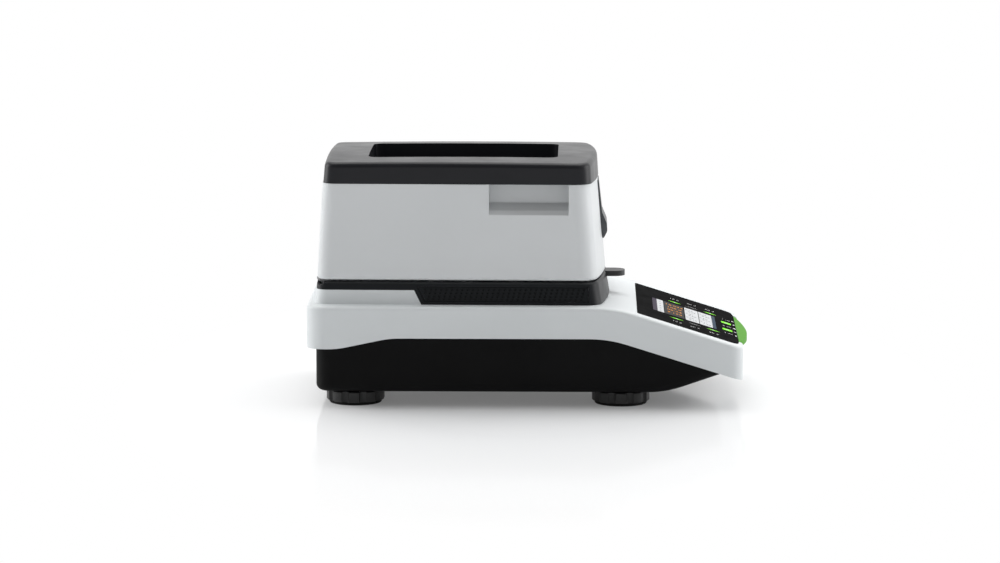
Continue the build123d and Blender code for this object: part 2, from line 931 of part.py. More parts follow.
def hood_cap():
    """Dark crowned lid with its deep rectangular well."""
    outer = loft_between(cap_plan(0), cap_base_z, cap_plan(1.2), top_z + 0.2 * cap_height)
    outer = outer & crown_body()
    rim = [
        edge
        for edge in outer.edges()
        if edge.center().Z > cap_base_z + cap_height / 2 and edge.bounding_box().size.Z < cap_height / 2
    ]
    outer = fillet(rim, cap_edge_radius)
    inner = loft_between(
        cap_plan(-0.05, -cap_wall), cap_base_z - 0.05 * cap_height, cap_plan(1.2, -cap_wall),
        top_z + 0.2 * cap_height,
    ) & crown_body(cap_wall)
    floor_z = top_z - well_depth
    liner = well_body(cap_wall, floor_z - cap_wall, top_z - cap_wall)
    cap = (outer - inner) + (liner & crown_body(cap_wall / 2))
    cap -= well_body(0, floor_z)
    mouth = well_body(-6.0, floor_z - cap_wall - 1, floor_z + 1)
    seat = well_body(-2.5, floor_z - 1.4, floor_z + 1)
    return cap - mouth - seat


def well_grille():
    """Slatted plate in the floor of the well."""
    floor_z = top_z - well_depth
    plate = well_body(-2.5 - insert_gap, floor_z - 1.4, floor_z)
    pitch = (well_width - 26.0) / (well_slat_count - 1)
    for slat in range(well_slat_count):
        y = (slat - (well_slat_count - 1) / 2) * pitch
        slot = SlotOverall(well_length - 30.0, well_slat_width * 0.7)
        plate -= Pos(well_x(), y, 0) * stand(slot, floor_z - 5, floor_z + 5)
    return plate


# Heating unit


def protective_glass():
    """Round glass between the lamp and the sample."""
    return post(pan_x, 0, glass_radius, glass_z, clamp_z)


def glass_clamp():
    """Ring that holds the glass down on the base plate."""
    outer = glass_radius + clamp_rim
    ring = tube(pan_x, 0, outer, glass_radius - clamp_lap, clamp_z, reflector_z)
    return ring + tube(pan_x, 0, outer, glass_radius + insert_gap, glass_z, clamp_z)


def reflector():
    """Spun dish over the lamp, with a rolled flange at its foot."""
    r = reflector_radius
    z = reflector_z
    h = reflector_height
    outer = [(0, z), (r, z), (r - 5, z + h * 0.62), (r - 17, z + h), (10, z + h * 0.86), (0, z + h * 0.86)]
    body = revolve_profile(outer)
    t = reflector_sheet
    inner = [
        (0, z - 1),
        (r - t, z - 1),
        (r - 5 - t, z + h * 0.62 - t / 2),
        (r - 17 - t / 2, z + h - t),
        (10, z + h * 0.86 - t),
        (0, z + h * 0.86 - t),
    ]
    dish = body - revolve_profile(inner)
    dish += tube(pan_x, 0, r + reflector_flange, r - t, z, z + 1.2)
    dish -= post(pan_x, 0, probe_radius + insert_gap, 0, FAR)
    for side in (-1, 1):
        dish -= holder_block(side, insert_gap)
    return dish


def revolve_profile(points):
    """Half section in radius and height, turned about the pan's axis."""
    face = Plane.XZ * polygon(points)
    return Pos(pan_x, 0, 0) * revolve(face, Axis.Z)


def lamp_z():
    """Height of the lamp ring's centre line."""
    return reflector_z + lamp_height


def halogen_lamp():
    """Ring-shaped quartz tube with two pinched ends that turn up into the holders."""
    gap_angle = 24.0
    section = Pos(lamp_ring_radius, 0, 0) * (Plane.XZ * Circle(lamp_tube_radius))
    ring = revolve(section, Axis.Z, 360.0 - gap_angle)
    ring = Rot(0, 0, 180 + gap_angle / 2) * ring
    lamp = Pos(pan_x, 0, lamp_z()) * ring
    for side in (-1, 1):
        angle = math.radians(180 + side * (gap_angle / 2 + 2.6))
        x = pan_x + lamp_ring_radius * math.cos(angle)
        y = lamp_ring_radius * math.sin(angle)
        lamp += post(x, y, lamp_tube_radius * 0.72, lamp_z(), lamp_z() + 16)
    return lamp


def holder_block(side, growth=0.0):
    """Ceramic block on one end of the lamp, above the reflector."""
    angle = math.radians(180 + side * 14.6)
    x = pan_x + lamp_ring_radius * math.cos(angle)
    y = lamp_ring_radius * math.sin(angle)
    half = 6.0 + growth
    return block(x - half, x + half, y - half, y + half, lamp_z() + 9, lamp_z() + 24)


def lamp_holders():
    """Two ceramic blocks that carry the lamp's ends."""
    pair = []
    for side in (-1, 1):
        angle = math.radians(180 + side * 14.6)
        x = pan_x + lamp_ring_radius * math.cos(angle)
        y = lamp_ring_radius * math.sin(angle)
        pair.append(holder_block(side) - post(x, y, lamp_tube_radius * 0.72, 0, lamp_z() + 16))
    return pair


def temperature_probe():
    """Slim probe through the middle of the reflector."""
    top = reflector_z + reflector_height * 0.86
    body = post(pan_x, 0, probe_radius, reflector_z + 4, top + 14)
    return body + post(pan_x, 0, probe_radius * 2.4, top, top + 4)


def heat_cover():
    """Sheet-steel box over the reflector, open below, on the base plate."""
    half_x = reflector_radius + reflector_flange + cover_gap
    z0 = plate_z + plate_thickness
    z1 = lamp_z() + 24 + 8
    outer = Pos(pan_x, 0, 0) * stand(RectangleRounded(2 * half_x, 2 * half_x, 30), z0, z1)
    rim = outer.edges().filter_by(lambda edge: edge.center().Z > z1 - 0.1)
    outer = fillet(rim, 6.0)
    inner_half = half_x - cover_sheet
    inner = Pos(pan_x, 0, 0) * stand(
        RectangleRounded(2 * inner_half, 2 * inner_half, 30 - cover_sheet), z0 - 1, z1 - cover_sheet
    )
    inner_rim = inner.edges().filter_by(lambda edge: edge.center().Z > z1 - cover_sheet - 0.1)
    inner = fillet(inner_rim, 6.0 - cover_sheet)
    cover = outer - inner
    for row in range(5):
        x = pan_x + (row - 2) * 18.0
        cover -= Pos(x, 0, 0) * stand(SlotOverall(70.0, 6.0).rotate(Axis.Z, 90), z1 - 5, z1 + 5)
    return cover


# Hinge


def knuckle(side, place):
    """One knuckle: place -1, 0 or 1 along the hinge, 0 is the moving one."""
    middle = side * hinge_spread + place * (knuckle_length + knuckle_gap)
    y0 = middle - knuckle_length / 2
    y1 = middle + knuckle_length / 2
    return rod_y(hinge_x, hinge_z, knuckle_radius, y0, y1), y0, y1


def hinge_brackets():
    """Fixed hinge halves on the pedestal's deck."""
    brackets = []
    for side in (-1, 1):
        y_low = side * hinge_spread - hinge_half_length()
        y_high = side * hinge_spread + hinge_half_length()
        bracket = block(hinge_x + 6, hinge_x + 34, y_low, y_high, pedestal_top_z, pedestal_top_z + hinge_plate)
        for place in (-1, 1):
            round_part, y0, y1 = knuckle(side, place)
            arm = polygon(
                [
                    (hinge_x, hinge_z - knuckle_radius + 0.4),
                    (hinge_x + 6, pedestal_top_z),
                    (hinge_x + 12, pedestal_top_z),
                    (hinge_x + 12, pedestal_top_z + hinge_plate),
                    (hinge_x + 3, hinge_z + 0.8),
                    (hinge_x, hinge_z + 0.8),
                ]
            )
            web = Pos(0, (y0 + y1) / 2, 0) * side_slab(arm, knuckle_length / 2)
            bracket += round_part + web
        bracket -= rod_y(hinge_x, hinge_z, hinge_pin_radius, y_low - 1, y_high + 1)
        brackets.append(bracket)
    return brackets


def hinge_leaves():
    """Moving hinge halves inside the hood's rear wall."""
    leaves = []
    inside = loft_between(hood_plan(0, -hood_wall), hood_base_z, hood_plan(1, -hood_wall), cap_base_z)
    for side in (-1, 1):
        round_part, y0, y1 = knuckle(side, 0)
        leaf = block(
            hinge_x - 10, hinge_x + hinge_plate + 1, y0, y1, plate_z + plate_thickness, plate_z + 30
        ) & inside
        wide = block(
            hinge_x - 10, hinge_x + hinge_plate + 1, y0 - 8, y1 + 8, plate_z + 9, plate_z + 30
        ) & inside
        neck = block(hinge_x + 0.6, hinge_x + hinge_plate + 1, y0, y1, hinge_z, plate_z + plate_thickness)
        leaf = leaf + wide + neck + round_part
        leaves.append(leaf - rod_y(hinge_x, hinge_z, hinge_pin_radius + running_gap, y0 - 1, y1 + 1))
    return leaves


def hinge_pins():
    """One pin through each hinge."""
    half = hinge_half_length()
    return [
        rod_y(hinge_x, hinge_z, hinge_pin_radius, side * hinge_spread - half, side * hinge_spread + half)
        for side in (-1, 1)
    ]


# Weighing chamber


def chamber_floor():
    """Heat shield plate inside the vent ring, with three posts for the pan handler."""
    z0 = shoulder_z
    spread = ring_flare - ring_wall - floor_gap
    plate = stand(ring_plan(spread), z0, chamber_floor_z)
    plate = plate & block(pedestal_front_x + pedestal_slant + 0.5, FAR, -FAR, FAR, 0, FAR)
    for turn in (60, 180, 300):
        angle = math.radians(turn)
        radius = (handler_outer + handler_inner) / 2
        plate += post(
            pan_x + radius * math.cos(angle), radius * math.sin(angle), handler_post_radius, z0, handler_z
        )
    return plate - post(pan_x, 0, support_stem_radius * 3, 0, FAR)


def draft_shield():
    """Metal ring that keeps air off the pan, notched for the handle."""
    top = chamber_floor_z + draft_shield_height
    ring = tube(pan_x, 0, draft_shield_radius, draft_shield_radius - draft_shield_wall, chamber_floor_z, top)
    half = handle_width / 2 + 2.0
    return ring - block(pan_x, pan_x + draft_shield_radius + 5, -half, half, handler_z - 1.2, FAR)


def tab_z():
    """Underside of the tab outside the vent ring."""
    return ring_top_z - tab_top_drop - tab_thickness


def pan_handler():
    """Ring under the pan's rim with a handle that reaches out through the front notch."""
    ring = tube(pan_x, 0, handler_outer, handler_inner, handler_z, handler_z + handler_thickness)
    start = pan_x + handler_inner + 1.5
    end = ring_front_x + ring_flare + tab_reach
    step_x = draft_shield_radius + pan_x + 2.0
    side = polygon(
        [
            (start, handler_z),
            (step_x - 3, handler_z),
            (step_x + 1, tab_z()),
            (end, tab_z()),
            (end, tab_z() + tab_thickness),
            (step_x - 1, tab_z() + tab_thickness),
            (step_x - 6, handler_z + handler_thickness),
            (start, handler_z + handler_thickness),
        ]
    )
    narrow = handle_width / 2
    wide = tab_width / 2
    outline = polygon(
        [
            (start - 1, narrow),
            (step_x, narrow),
            (step_x + 6, wide),
            (end, wide),
            (end, -wide),
            (step_x + 6, -wide),
            (step_x, -narrow),
            (start - 1, -narrow),
        ]
    )
    outline = round_corner(outline, end, wide, wide - 0.6)
    outline = round_corner(outline, end, -wide, wide - 0.6)
    handle = side_slab(side, wide + 1) & stand(outline, 0, FAR)
    return ring + handle


def pan_support():
    """Three arms and a ring on the stem that stands in the load cell."""
    z1 = support_z
    z0 = z1 - support_thickness
    support = tube(pan_x, 0, support_ring_radius, support_ring_radius - 3, z0, z1)
    for turn in (0, 120, 240):
        arm = Pos(support_ring_radius / 2, 0, 0) * stand(
            Rectangle(support_ring_radius - 3, support_arm_width), z0, z1
        )
        support += Pos(pan_x, 0, 0) * Rot(0, 0, turn) * arm
    support += post(pan_x, 0, support_arm_width + 2, z0 - 2, z1)
    return support + post(pan_x, 0, support_stem_radius, cell_top_z - 8, z0)


def sample_pan():
    """Thin dished pan with a flat rim."""
    z0 = support_z
    t = pan_sheet
    profile = [
        (0, z0),
        (pan_radius - 1.5, z0),
        (pan_radius, z0 + 1.5),
        (pan_radius + 0.4, z0 + pan_depth - t),
        (pan_radius + pan_flange, z0 + pan_depth - t),
        (pan_radius + pan_flange, z0 + pan_depth),
        (pan_radius + 0.4 - t, z0 + pan_depth),
        (pan_radius - t, z0 + 1.5 + t / 2),
        (pan_radius - 1.5 - t / 2, z0 + t),
        (0, z0 + t),
    ]
    return revolve_profile(profile)


# Weighing cell and electronics


def bracket_z():
    """Underside of the load cell's bracket."""
    return cell_top_z - cell_height - 2.0 - bracket_thickness


def board_z():
    """Underside of the boards."""
    return tray_bottom_z + tray_wall + 7.0


def cell_bosses():
    """Posts in the tray under the load cell's bracket."""
    reach = bracket_half - 8.0
    return [(pan_x + x, y) for x in (-reach, reach) for y in (-30, 30)]


def load_cell_bracket():
    """Plate with a raised foot for the fixed end of the cell."""
    z0 = bracket_z()
    z1 = z0 + bracket_thickness
    plate = block(pan_x - bracket_half, pan_x + bracket_half, -38, 38, z0, z1)
    plate = fillet(plate.edges().filter_by(Axis.Z), 8.0)
    foot = block(pan_x - cell_length / 2, pan_x - cell_length / 2 + 22, -cell_width / 2, cell_width / 2, z1, z1 + 2)
    for x, y in cell_bosses():
        plate -= post(x, y, 2.2, z0 - 1, z1 + 1)
    return plate + foot


def load_cell():
    """Metal block with the thin flexures of a parallel-beam cell."""
    z0 = cell_top_z - cell_height
    x0 = pan_x - cell_length / 2
    x1 = pan_x + cell_length / 2 - 18
    body = block(x0, x1, -cell_width / 2, cell_width / 2, z0, cell_top_z)
    body = chamfer(body.edges().filter_by(Axis.Z), 1.5)
    middle_z = z0 + cell_height / 2
    for x in (pan_x - 14, pan_x + 6 - 18):
        body -= rod_y(x, middle_z, cell_height * 0.36, -cell_width, cell_width)
    body -= block(pan_x - 14, pan_x - 12, -cell_width, cell_width, middle_z - 2, middle_z + 2)
    return body - post(pan_x, 0, support_stem_radius + slide_gap, cell_top_z - 8 - slide_gap - pan_travel, FAR)


def board_bosses():
    """Posts under the main board."""
    return [(board_x() + x, y) for x in (6, board_length - 6) for y in (-board_half + 6, board_half - 6)]


def board_x():
    """Rear edge of the main board, in front of the load cell's bracket."""
    return pan_x + bracket_half + 8.0


def main_board():
    """Main circuit board with its larger components."""
    x0 = board_x()
    z0 = board_z()
    z1 = z0 + board_thickness
    board = block(x0, x0 + board_length, -board_half, board_half, z0, z1)
    board += block(x0 + 16, x0 + 36, -14, 6, z1, z1 + 3)
    board += block(x0 + 20, x0 + 32, 16, 28, z1, z1 + 2.4)
    board += block(x0 + 6, x0 + 12, -44, -20, z1, z1 + 7)
    for y in (34, 42):
        board += post(x0 + 40, y, 3.2, z1, z1 + 9)
    return board


def supply_bosses():
    """Posts under the power supply board."""
    return [(rear_foot_x + x, y) for x in (14, 64) for y in (-40, 40)]


def power_supply():
    """Supply board with its transformer, capacitors and heat sink."""
    x0 = rear_foot_x + 8
    z0 = board_z()
    z1 = z0 + board_thickness
    board = block(x0, x0 + 62, -46, 46, z0, z1)
    board += block(x0 + 18, x0 + 44, -26, 2, z1, z1 + 20)
    board += post(x0 + 16, 24, 8, z1, z1 + 22)
    board += post(x0 + 36, 24, 6, z1, z1 + 18)
    for fin in range(5):
        board += block(x0 + 48, x0 + 58, -30 + fin * 6, -28 + fin * 6, z1, z1 + 16)
    return board + block(x0 + 48, x0 + 50, -30, -4, z1, z1 + 16)


# Touch panel


def on_slope(face, depth, lift=0.0):
    """Plan outline dropped onto the sloped top, as thick as depth below it."""
    upper = under_top_slope(-lift)
    lower = under_top_slope(depth)
    return stand(face, 0, FAR) & (side_slab(upper, half_width) - side_slab(lower, half_width))


def under_top_slope(drop):
    """Side view of everything under the straight slope, dropped square to it."""
    vertical = drop / math.cos(math.radians(panel_slope))
    return polygon(
        [
            (0, -FAR),
            (FAR, -FAR),
            (FAR, top_slope_z(FAR) - vertical),
            (0, top_slope_z(0) - vertical),
        ]
    )


def panel_plan(growth=0.0):
    """Plan outline of the touch panel's glass."""
    chord_x = nose_x - status_depth
    corner_x = chord_x - 1.6
    half = panel_half_width + growth
    face = polygon(
        [
            (panel_rear_x - growth, half),
            (corner_x + growth, half),
            (chord_x + growth, status_half_width),
            (chord_x + growth, -status_half_width),
            (corner_x + growth, -half),
            (panel_rear_x - growth, -half),
        ]
    )
    for y in (half, -half):
        face = round_corner(face, panel_rear_x - growth, y, 3.0)
        face = round_corner(face, corner_x + growth, y, panel_corner)
    return face


def touch_panel():
    """Black glass that lies flush in the sloped top."""
    return on_slope(panel_plan(), panel_thickness)


def panel_recess():
    """Shallow seat for the glass."""
    return on_slope(panel_plan(insert_gap), panel_thickness, 20)


def status_plan(growth=0.0):
    """Plan outline of the status light: a straight rear side and a bowed front."""
    chord_x = nose_x - status_depth
    sides = [
        Line((chord_x + insert_gap - growth, -status_half_width), (chord_x + insert_gap - growth, status_half_width)),
        ThreePointArc(
            (chord_x + insert_gap - growth, status_half_width), (nose_x + growth, 0),
            (chord_x + insert_gap - growth, -status_half_width),
        ),
    ]
    return make_face(sides)


def status_light():
    """Translucent green bar that forms the nose."""
    return on_slope(status_plan(), status_thickness)


def status_recess():
    """Seat for the status light in the casing's front edge."""
    chord_x = nose_x - status_depth
    outline = Pos(chord_x + FAR / 2, 0) * Rectangle(FAR, 2 * status_half_width + 2 * insert_gap)
    return on_slope(outline, status_thickness, 20)


def display_plan(growth=0.0):
    """Plan outline of the display module."""
    x0 = panel_rear_x + display_setback - growth
    x1 = x0 + display_length + 2 * growth
    half = display_half_width + growth
    return Pos((x0 + x1) / 2, 0) * Rectangle(x1 - x0, 2 * half)


def display_module():
    """Colour display right under the glass."""
    body = on_slope(display_plan(), panel_thickness + display_thickness)
    return body - on_slope(display_plan(5), panel_thickness, 20)


def display_window():
    """Window in the casing for the display."""
    return on_slope(display_plan(insert_gap), panel_thickness + display_thickness + 20, 20)


def display_frame():
    """Flat frame that clamps the display from below."""
    depth = panel_thickness + casing_wall * 3
    frame = on_slope(display_plan(6), depth) - on_slope(display_plan(6), panel_thickness + display_thickness, 20)
    return frame - on_slope(display_plan(-6), FAR / 2, 20)


# Rear panel


def rear_seat_x():
    """Plane that the rear panel's outer face lies on."""
    return rear_x + rear_panel_recess


def rear_panel_outline(growth=0.0):
    """Outline of the rear panel in Y and Z."""
    return Pos(0, rear_panel_z) * RectangleRounded(
        2 * (rear_panel_half + growth), rear_panel_height + 2 * growth, 3.0 + max(growth, -2.0)
    )


def rear_slab(outline, x0, x1):
    """Outline in Y and Z extruded along X."""
    return Pos(x0, 0, 0) * extrude(Plane.YZ * outline, amount=x1 - x0)


def rear_panel_frame():
    """Thick frame around the opening in the casing's rear wall."""
    x0 = rear_x + casing_rear_bow + 0.5
    frame = rear_slab(rear_panel_outline(2.5), x0, rear_seat_x() + rear_panel_thickness + 2.5)
    return frame & stand(casing_plan(casing_wall / 2), 0, FAR)


def rear_panel_hole():
    """Recess for the panel and the opening behind it."""
    recess = rear_slab(rear_panel_outline(insert_gap), rear_x - 10, rear_seat_x() + rear_panel_thickness)
    return recess + rear_slab(rear_panel_outline(-4), rear_x - 10, rear_seat_x() + 20)


def rear_panel():
    """Dark plate with the cut-outs for the sockets."""
    plate = rear_slab(rear_panel_outline(), rear_seat_x(), rear_seat_x() + rear_panel_thickness)
    cuts = [
        Pos(inlet_offset, rear_panel_z) * Rectangle(inlet_width - 6 + insert_gap, inlet_height - 6 + insert_gap),
        Pos(switch_offset, rear_panel_z) * Rectangle(switch_width - 2 + insert_gap, switch_height - 2 + insert_gap),
        Pos(serial_offset, rear_panel_z) * Rectangle(18.0, 9.5),
    ]
    for place in range(2):
        cuts.append(Pos(usb_offset - place * usb_pitch, rear_panel_z) * Rectangle(13.0 + 2 * insert_gap, 12.0))
    for cut in cuts:
        plate -= rear_slab(cut, rear_x - 10, rear_seat_x() + 10)
    return plate


def inlet_socket(growth=0.0):
    """Outline of the inlet's socket: a rectangle with two cut corners."""
    y = inlet_offset + 6.5
    outline = Pos(y, rear_panel_z) * Rectangle(24.0 + 2 * growth, 16.5 + 2 * growth)
    for side in (-1, 1):
        corner = outline.vertices().sort_by_distance((y + side * 12, rear_panel_z + 8.25, 0))[0]
        outline = chamfer(corner, 4.5)
    return outline


def fuse_outline(growth=0.0):
    """Outline of the fuse drawer beside the socket."""
    return Pos(inlet_offset - 14.5, rear_panel_z) * Rectangle(fuse_width + 2 * growth, 16.0 + 2 * growth)


def power_inlet():
    """Socket with three flat pins and a slot for the fuse drawer."""
    flange_x = rear_seat_x() - 1.6
    flange = rear_slab(
        Pos(inlet_offset, rear_panel_z) * RectangleRounded(inlet_width, inlet_height, 2.0), flange_x, rear_seat_x()
    )
    core = rear_slab(
        Pos(inlet_offset, rear_panel_z) * Rectangle(inlet_width - 6, inlet_height - 6),
        rear_seat_x(), rear_seat_x() + inlet_depth,
    )
    body = flange + core
    body -= rear_slab(inlet_socket(), flange_x - 1, rear_seat_x() + 16)
    body -= rear_slab(fuse_outline(0.1), flange_x - 1, rear_seat_x() + 18)
    return body


def inlet_pins():
    """Three flat contact pins."""
    y = inlet_offset + 6.5
    pins = []
    for dy, dz in ((-7, -1.8), (7, -1.8), (0, 2.2)):
        outline = Pos(y + dy, rear_panel_z + dz) * Rectangle(2.0, 4.0)
        pins.append(rear_slab(outline, rear_seat_x() + 1, rear_seat_x() + inlet_depth + 3))
    return pins


def inlet_with_pin_holes():
    """Inlet body with a close hole for each pin."""
    body = power_inlet()
    for pin in inlet_pins():
        body -= pin
    return body


def fuse_drawer():
    """Small drawer with a pull lip."""
    drawer = rear_slab(fuse_outline(), rear_seat_x() - 1.6, rear_seat_x() + 17)
    lip = rear_slab(
        Pos(inlet_offset - 14.5, rear_panel_z + 5.5) * Rectangle(fuse_width - 3, 2.0),
        rear_seat_x() - 3.2, rear_seat_x() - 1.6,
    )
    cavity = rear_slab(
        Pos(inlet_offset - 14.5, rear_panel_z) * Rectangle(fuse_width - 3, 11.0),
        rear_seat_x() + 3, rear_seat_x() + 15,
    )
    opened = Pos(0, 0, 4.0) * cavity
    return drawer + lip - cavity - opened


def switch_frame():
    """Frame of the power switch."""
    outer = Pos(switch_offset, rear_panel_z) * RectangleRounded(switch_width, switch_height, 1.5)
    core = Pos(switch_offset, rear_panel_z) * Rectangle(switch_width - 2, switch_height - 2)
    body = rear_slab(outer, rear_seat_x() - 1.8, rear_seat_x())
    body += rear_slab(core, rear_seat_x(), rear_seat_x() + switch_depth)
    hollow = Pos(switch_offset, rear_panel_z) * Rectangle(switch_width - 4, switch_height - 4)
    body -= rear_slab(hollow, rear_seat_x() - 3, rear_seat_x() + switch_depth - 3)
    axle = rod_y(rocker_x(), rear_panel_z, 1.2 + running_gap, switch_offset - 6.9, switch_offset + 6.9)
    return body - axle


def rocker_x():
    """X of the rocker's axle."""
    return rear_seat_x() + 3.6


def switch_rocker():
    """Rocker, shown pressed at its lower end."""
    half_y = (switch_width - 4) / 2 - 0.3
    half_z = (switch_height - 4) / 2 - 1.4
    bend = 2.3
    face = polygon(
        [
            (rocker_x() - 6.4, half_z),
            (rocker_x() - 5.6 + bend / 2, 0),
            (rocker_x() - 6.4, -half_z),
            (rocker_x() + 1.6, -half_z * 0.7),
            (rocker_x() + 2.6, 0),
            (rocker_x() + 1.6, half_z * 0.7),
        ]
    )
    rocker = Pos(0, switch_offset, rear_panel_z) * side_slab(face, half_y)
    rocker += rod_y(rocker_x(), rear_panel_z, 1.2, switch_offset - 6.6, switch_offset + 6.6)
    return rocker.rotate(Axis((rocker_x(), 0, rear_panel_z), (0, 1, 0)), -rocker_tilt)


def serial_port():
    """Nine-pin port: a metal shell on a flange, with its pin block."""
    y = serial_offset
    flange = Pos(y, rear_panel_z) * RectangleRounded(30.8, 12.5, 1.5)
    shell = polygon(
        [
            (y - 8.5, rear_panel_z + 4.2),
            (y + 8.5, rear_panel_z + 4.2),
            (y + 7.2, rear_panel_z - 4.2),
            (y - 7.2, rear_panel_z - 4.2),
        ]
    )
    inner = polygon(
        [
            (y - 7.8, rear_panel_z + 3.6),
            (y + 7.8, rear_panel_z + 3.6),
            (y + 6.6, rear_panel_z - 3.6),
            (y - 6.6, rear_panel_z - 3.6),
        ]
    )
    x = rear_seat_x()
    body = rear_slab(flange, x - 1.0, x) + rear_slab(shell, x - 4.8, x + 10)
    body -= rear_slab(inner, x - 5, x + 2)
    for count, dz in ((5, 1.4), (4, -1.4)):
        for pin in range(count):
            dy = (pin - (count - 1) / 2) * 2.77
            body += rod_x(y + dy, rear_panel_z + dz, 0.5, x - 4.0, x + 3)
    for side in (-1, 1):
        body += rod_x(y + side * 12.5, rear_panel_z, 2.4, x - 4.2, x - 1)
    return body


def usb_port(place):
    """USB socket: 0 is the square device port, 1 the flat host port."""
    y = usb_offset - place * usb_pitch
    x = rear_seat_x()
    width, height = ((12.0, 11.0), (13.0, 5.8))[place]
    wall = 0.7
    body = rear_slab(Pos(y, rear_panel_z) * Rectangle(width, height), x - 0.6, x + 14)
    inner = Pos(y, rear_panel_z) * Rectangle(width - 2 * wall, height - 2 * wall)
    body -= rear_slab(inner, x - 1, x + 10)
    tongue_height = (3.2, 1.8)[place]
    tongue = Pos(y, rear_panel_z) * Rectangle(width * 0.55, tongue_height)
    body += rear_slab(tongue, x + 1, x + 10.5)
    collar = Pos(y, rear_panel_z) * Rectangle(13.0 + 1.6, 13.6)
    return body + (
        rear_slab(collar, x + rear_panel_thickness, x + 8)
        - rear_slab(Pos(y, rear_panel_z) * Rectangle(width, height), x, x + 9)
    )


def save(name, shape):
    """Write one node, made of one solid or of several separate ones."""
    pieces = shape if isinstance(shape, list) else [shape]
    solids = [solid for piece in pieces for solid in piece.solids()]
    export_step(Compound(solids) if len(solids) > 1 else solids[0], f"parts/{name}.step")


save("top_casing", top_casing())
save("base_tray", base_tray())
save("casing_screws", casing_screws())
save("foot_inserts", foot_inserts())
for foot_name, (foot_x, foot_y) in foot_places().items():
    save(f"foot_wheel_{foot_name}", foot_wheel(foot_x, foot_y))
    save(f"foot_pad_{foot_name}", foot_pad(foot_x, foot_y))
save("vent_ring", vent_ring())
save("vent_grille_left", grille(1))
save("vent_grille_right", grille(-1))
save("hood_shell", hood_shell())
save("hood_base_plate", hood_base_plate())
save("hood_plate_screws", hood_plate_screws())
save("front_grip", front_grip())
save("hood_cap", hood_cap())
save("well_grille", well_grille())
save("protective_glass", protective_glass())
save("glass_clamp", glass_clamp())
save("reflector", reflector())
save("halogen_lamp", halogen_lamp())
save("lamp_holders", lamp_holders())
save("temperature_probe", temperature_probe())
save("heat_cover", heat_cover())
save("hinge_brackets", hinge_brackets())
save("hinge_leaves", hinge_leaves())
save("hinge_pins", hinge_pins())
save("chamber_floor", chamber_floor())
save("draft_shield", draft_shield())
save("pan_handler", pan_handler())
save("pan_support", pan_support())
save("sample_pan", sample_pan())
save("load_cell_bracket", load_cell_bracket())
save("load_cell", load_cell())
save("main_board", main_board())
save("power_supply", power_supply())
save("touch_panel", touch_panel())
save("status_light", status_light())
save("display_module", display_module())
save("display_frame", display_frame())
save("rear_panel", rear_panel())
save("power_inlet", inlet_with_pin_holes())
save("inlet_pins", inlet_pins())
save("fuse_drawer", fuse_drawer())
save("switch_frame", switch_frame())
save("switch_rocker", switch_rocker())
save("serial_port", serial_port())
save("usb_device_port", usb_port(0))
save("usb_host_port", usb_port(1))
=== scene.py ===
"""Looks of a halogen moisture analyzer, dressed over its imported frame.

The solids of the frame keep their shapes and places and get procedural finishes. Built here are
the studio, the perforated plates of the vent ring, which replace two solids, and what shows on
the touch panel. Lengths are in metres, apart from the panel's, which are in millimetres.
"""

import logging
import math
from collections.abc import Callable, Iterable, Mapping, Sequence
from dataclasses import dataclass
from enum import Enum

import bmesh
import bpy
from mathutils import Matrix, Vector


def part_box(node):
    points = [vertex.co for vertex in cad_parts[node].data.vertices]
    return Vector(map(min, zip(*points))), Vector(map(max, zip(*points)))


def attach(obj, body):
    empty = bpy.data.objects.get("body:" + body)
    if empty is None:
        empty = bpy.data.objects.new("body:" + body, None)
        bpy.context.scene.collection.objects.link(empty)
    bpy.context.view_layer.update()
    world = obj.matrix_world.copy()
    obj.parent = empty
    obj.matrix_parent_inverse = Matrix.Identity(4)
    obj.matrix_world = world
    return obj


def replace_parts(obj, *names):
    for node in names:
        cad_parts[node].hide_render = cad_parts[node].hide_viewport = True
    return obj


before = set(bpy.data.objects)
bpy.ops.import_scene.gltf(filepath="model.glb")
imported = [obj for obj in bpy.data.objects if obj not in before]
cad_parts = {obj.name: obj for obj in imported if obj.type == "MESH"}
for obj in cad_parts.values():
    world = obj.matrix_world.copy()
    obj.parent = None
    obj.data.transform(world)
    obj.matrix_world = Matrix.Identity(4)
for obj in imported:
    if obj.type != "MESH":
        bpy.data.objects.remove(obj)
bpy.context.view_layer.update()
MM = 0.001
MICRON = 0.001 * MM
TINY = 1e-9
PANEL_SLOPE = math.radians(17.4)
LOG = logging.getLogger("analyzer")

Colour = tuple[float, float, float]
Place = tuple[float, float, float]
Point = tuple[float, float]
Spot = Callable[[float, float, float], Vector]
Shape = bmesh.types.BMesh
Loop = Sequence[bmesh.types.BMVert]
Node = bpy.types.Node
Socket = bpy.types.NodeSocket
Sockets = Mapping[str, Socket]

DUST: Colour = (0.55, 0.54, 0.52)
MIDDLE: Point = (0.3, 0.7)  # band that most of a noise lies in


def shade(red: int, green: int, blue: int) -> Colour:
    """Turn a colour in 0 to 255 screen steps into the linear values of a shader.

    Args:
        red: Red step.
        green: Green step.
        blue: Blue step.

    Returns:
        The linear colour.
    """

    def linear(step: int) -> float:
        """Linear value of one step."""
        share = step / 255
        return share / 12.92 if share <= 0.04045 else ((share + 0.055) / 1.055) ** 2.4

    return linear(red), linear(green), linear(blue)


def grey(value: float) -> Colour:
    """Grey of a linear value."""
    return value, value, value


def scaled(colour: Colour, factor: float) -> Colour:
    """Colour made lighter or darker by a factor, kept within white."""
    red, green, blue = (min(value * factor, 1.0) for value in colour)
    return red, green, blue


class Kind(Enum):
    """Kinds of group sockets, named as the types of the sockets that they link to."""

    VALUE = "NodeSocketFloat"
    VECTOR = "NodeSocketVector"


class Mixed(Enum):
    """What a mix node mixes: its data type, its first input and its output."""

    NUMBER = ("FLOAT", 2, 0)
    COLOUR = ("RGBA", 6, 2)


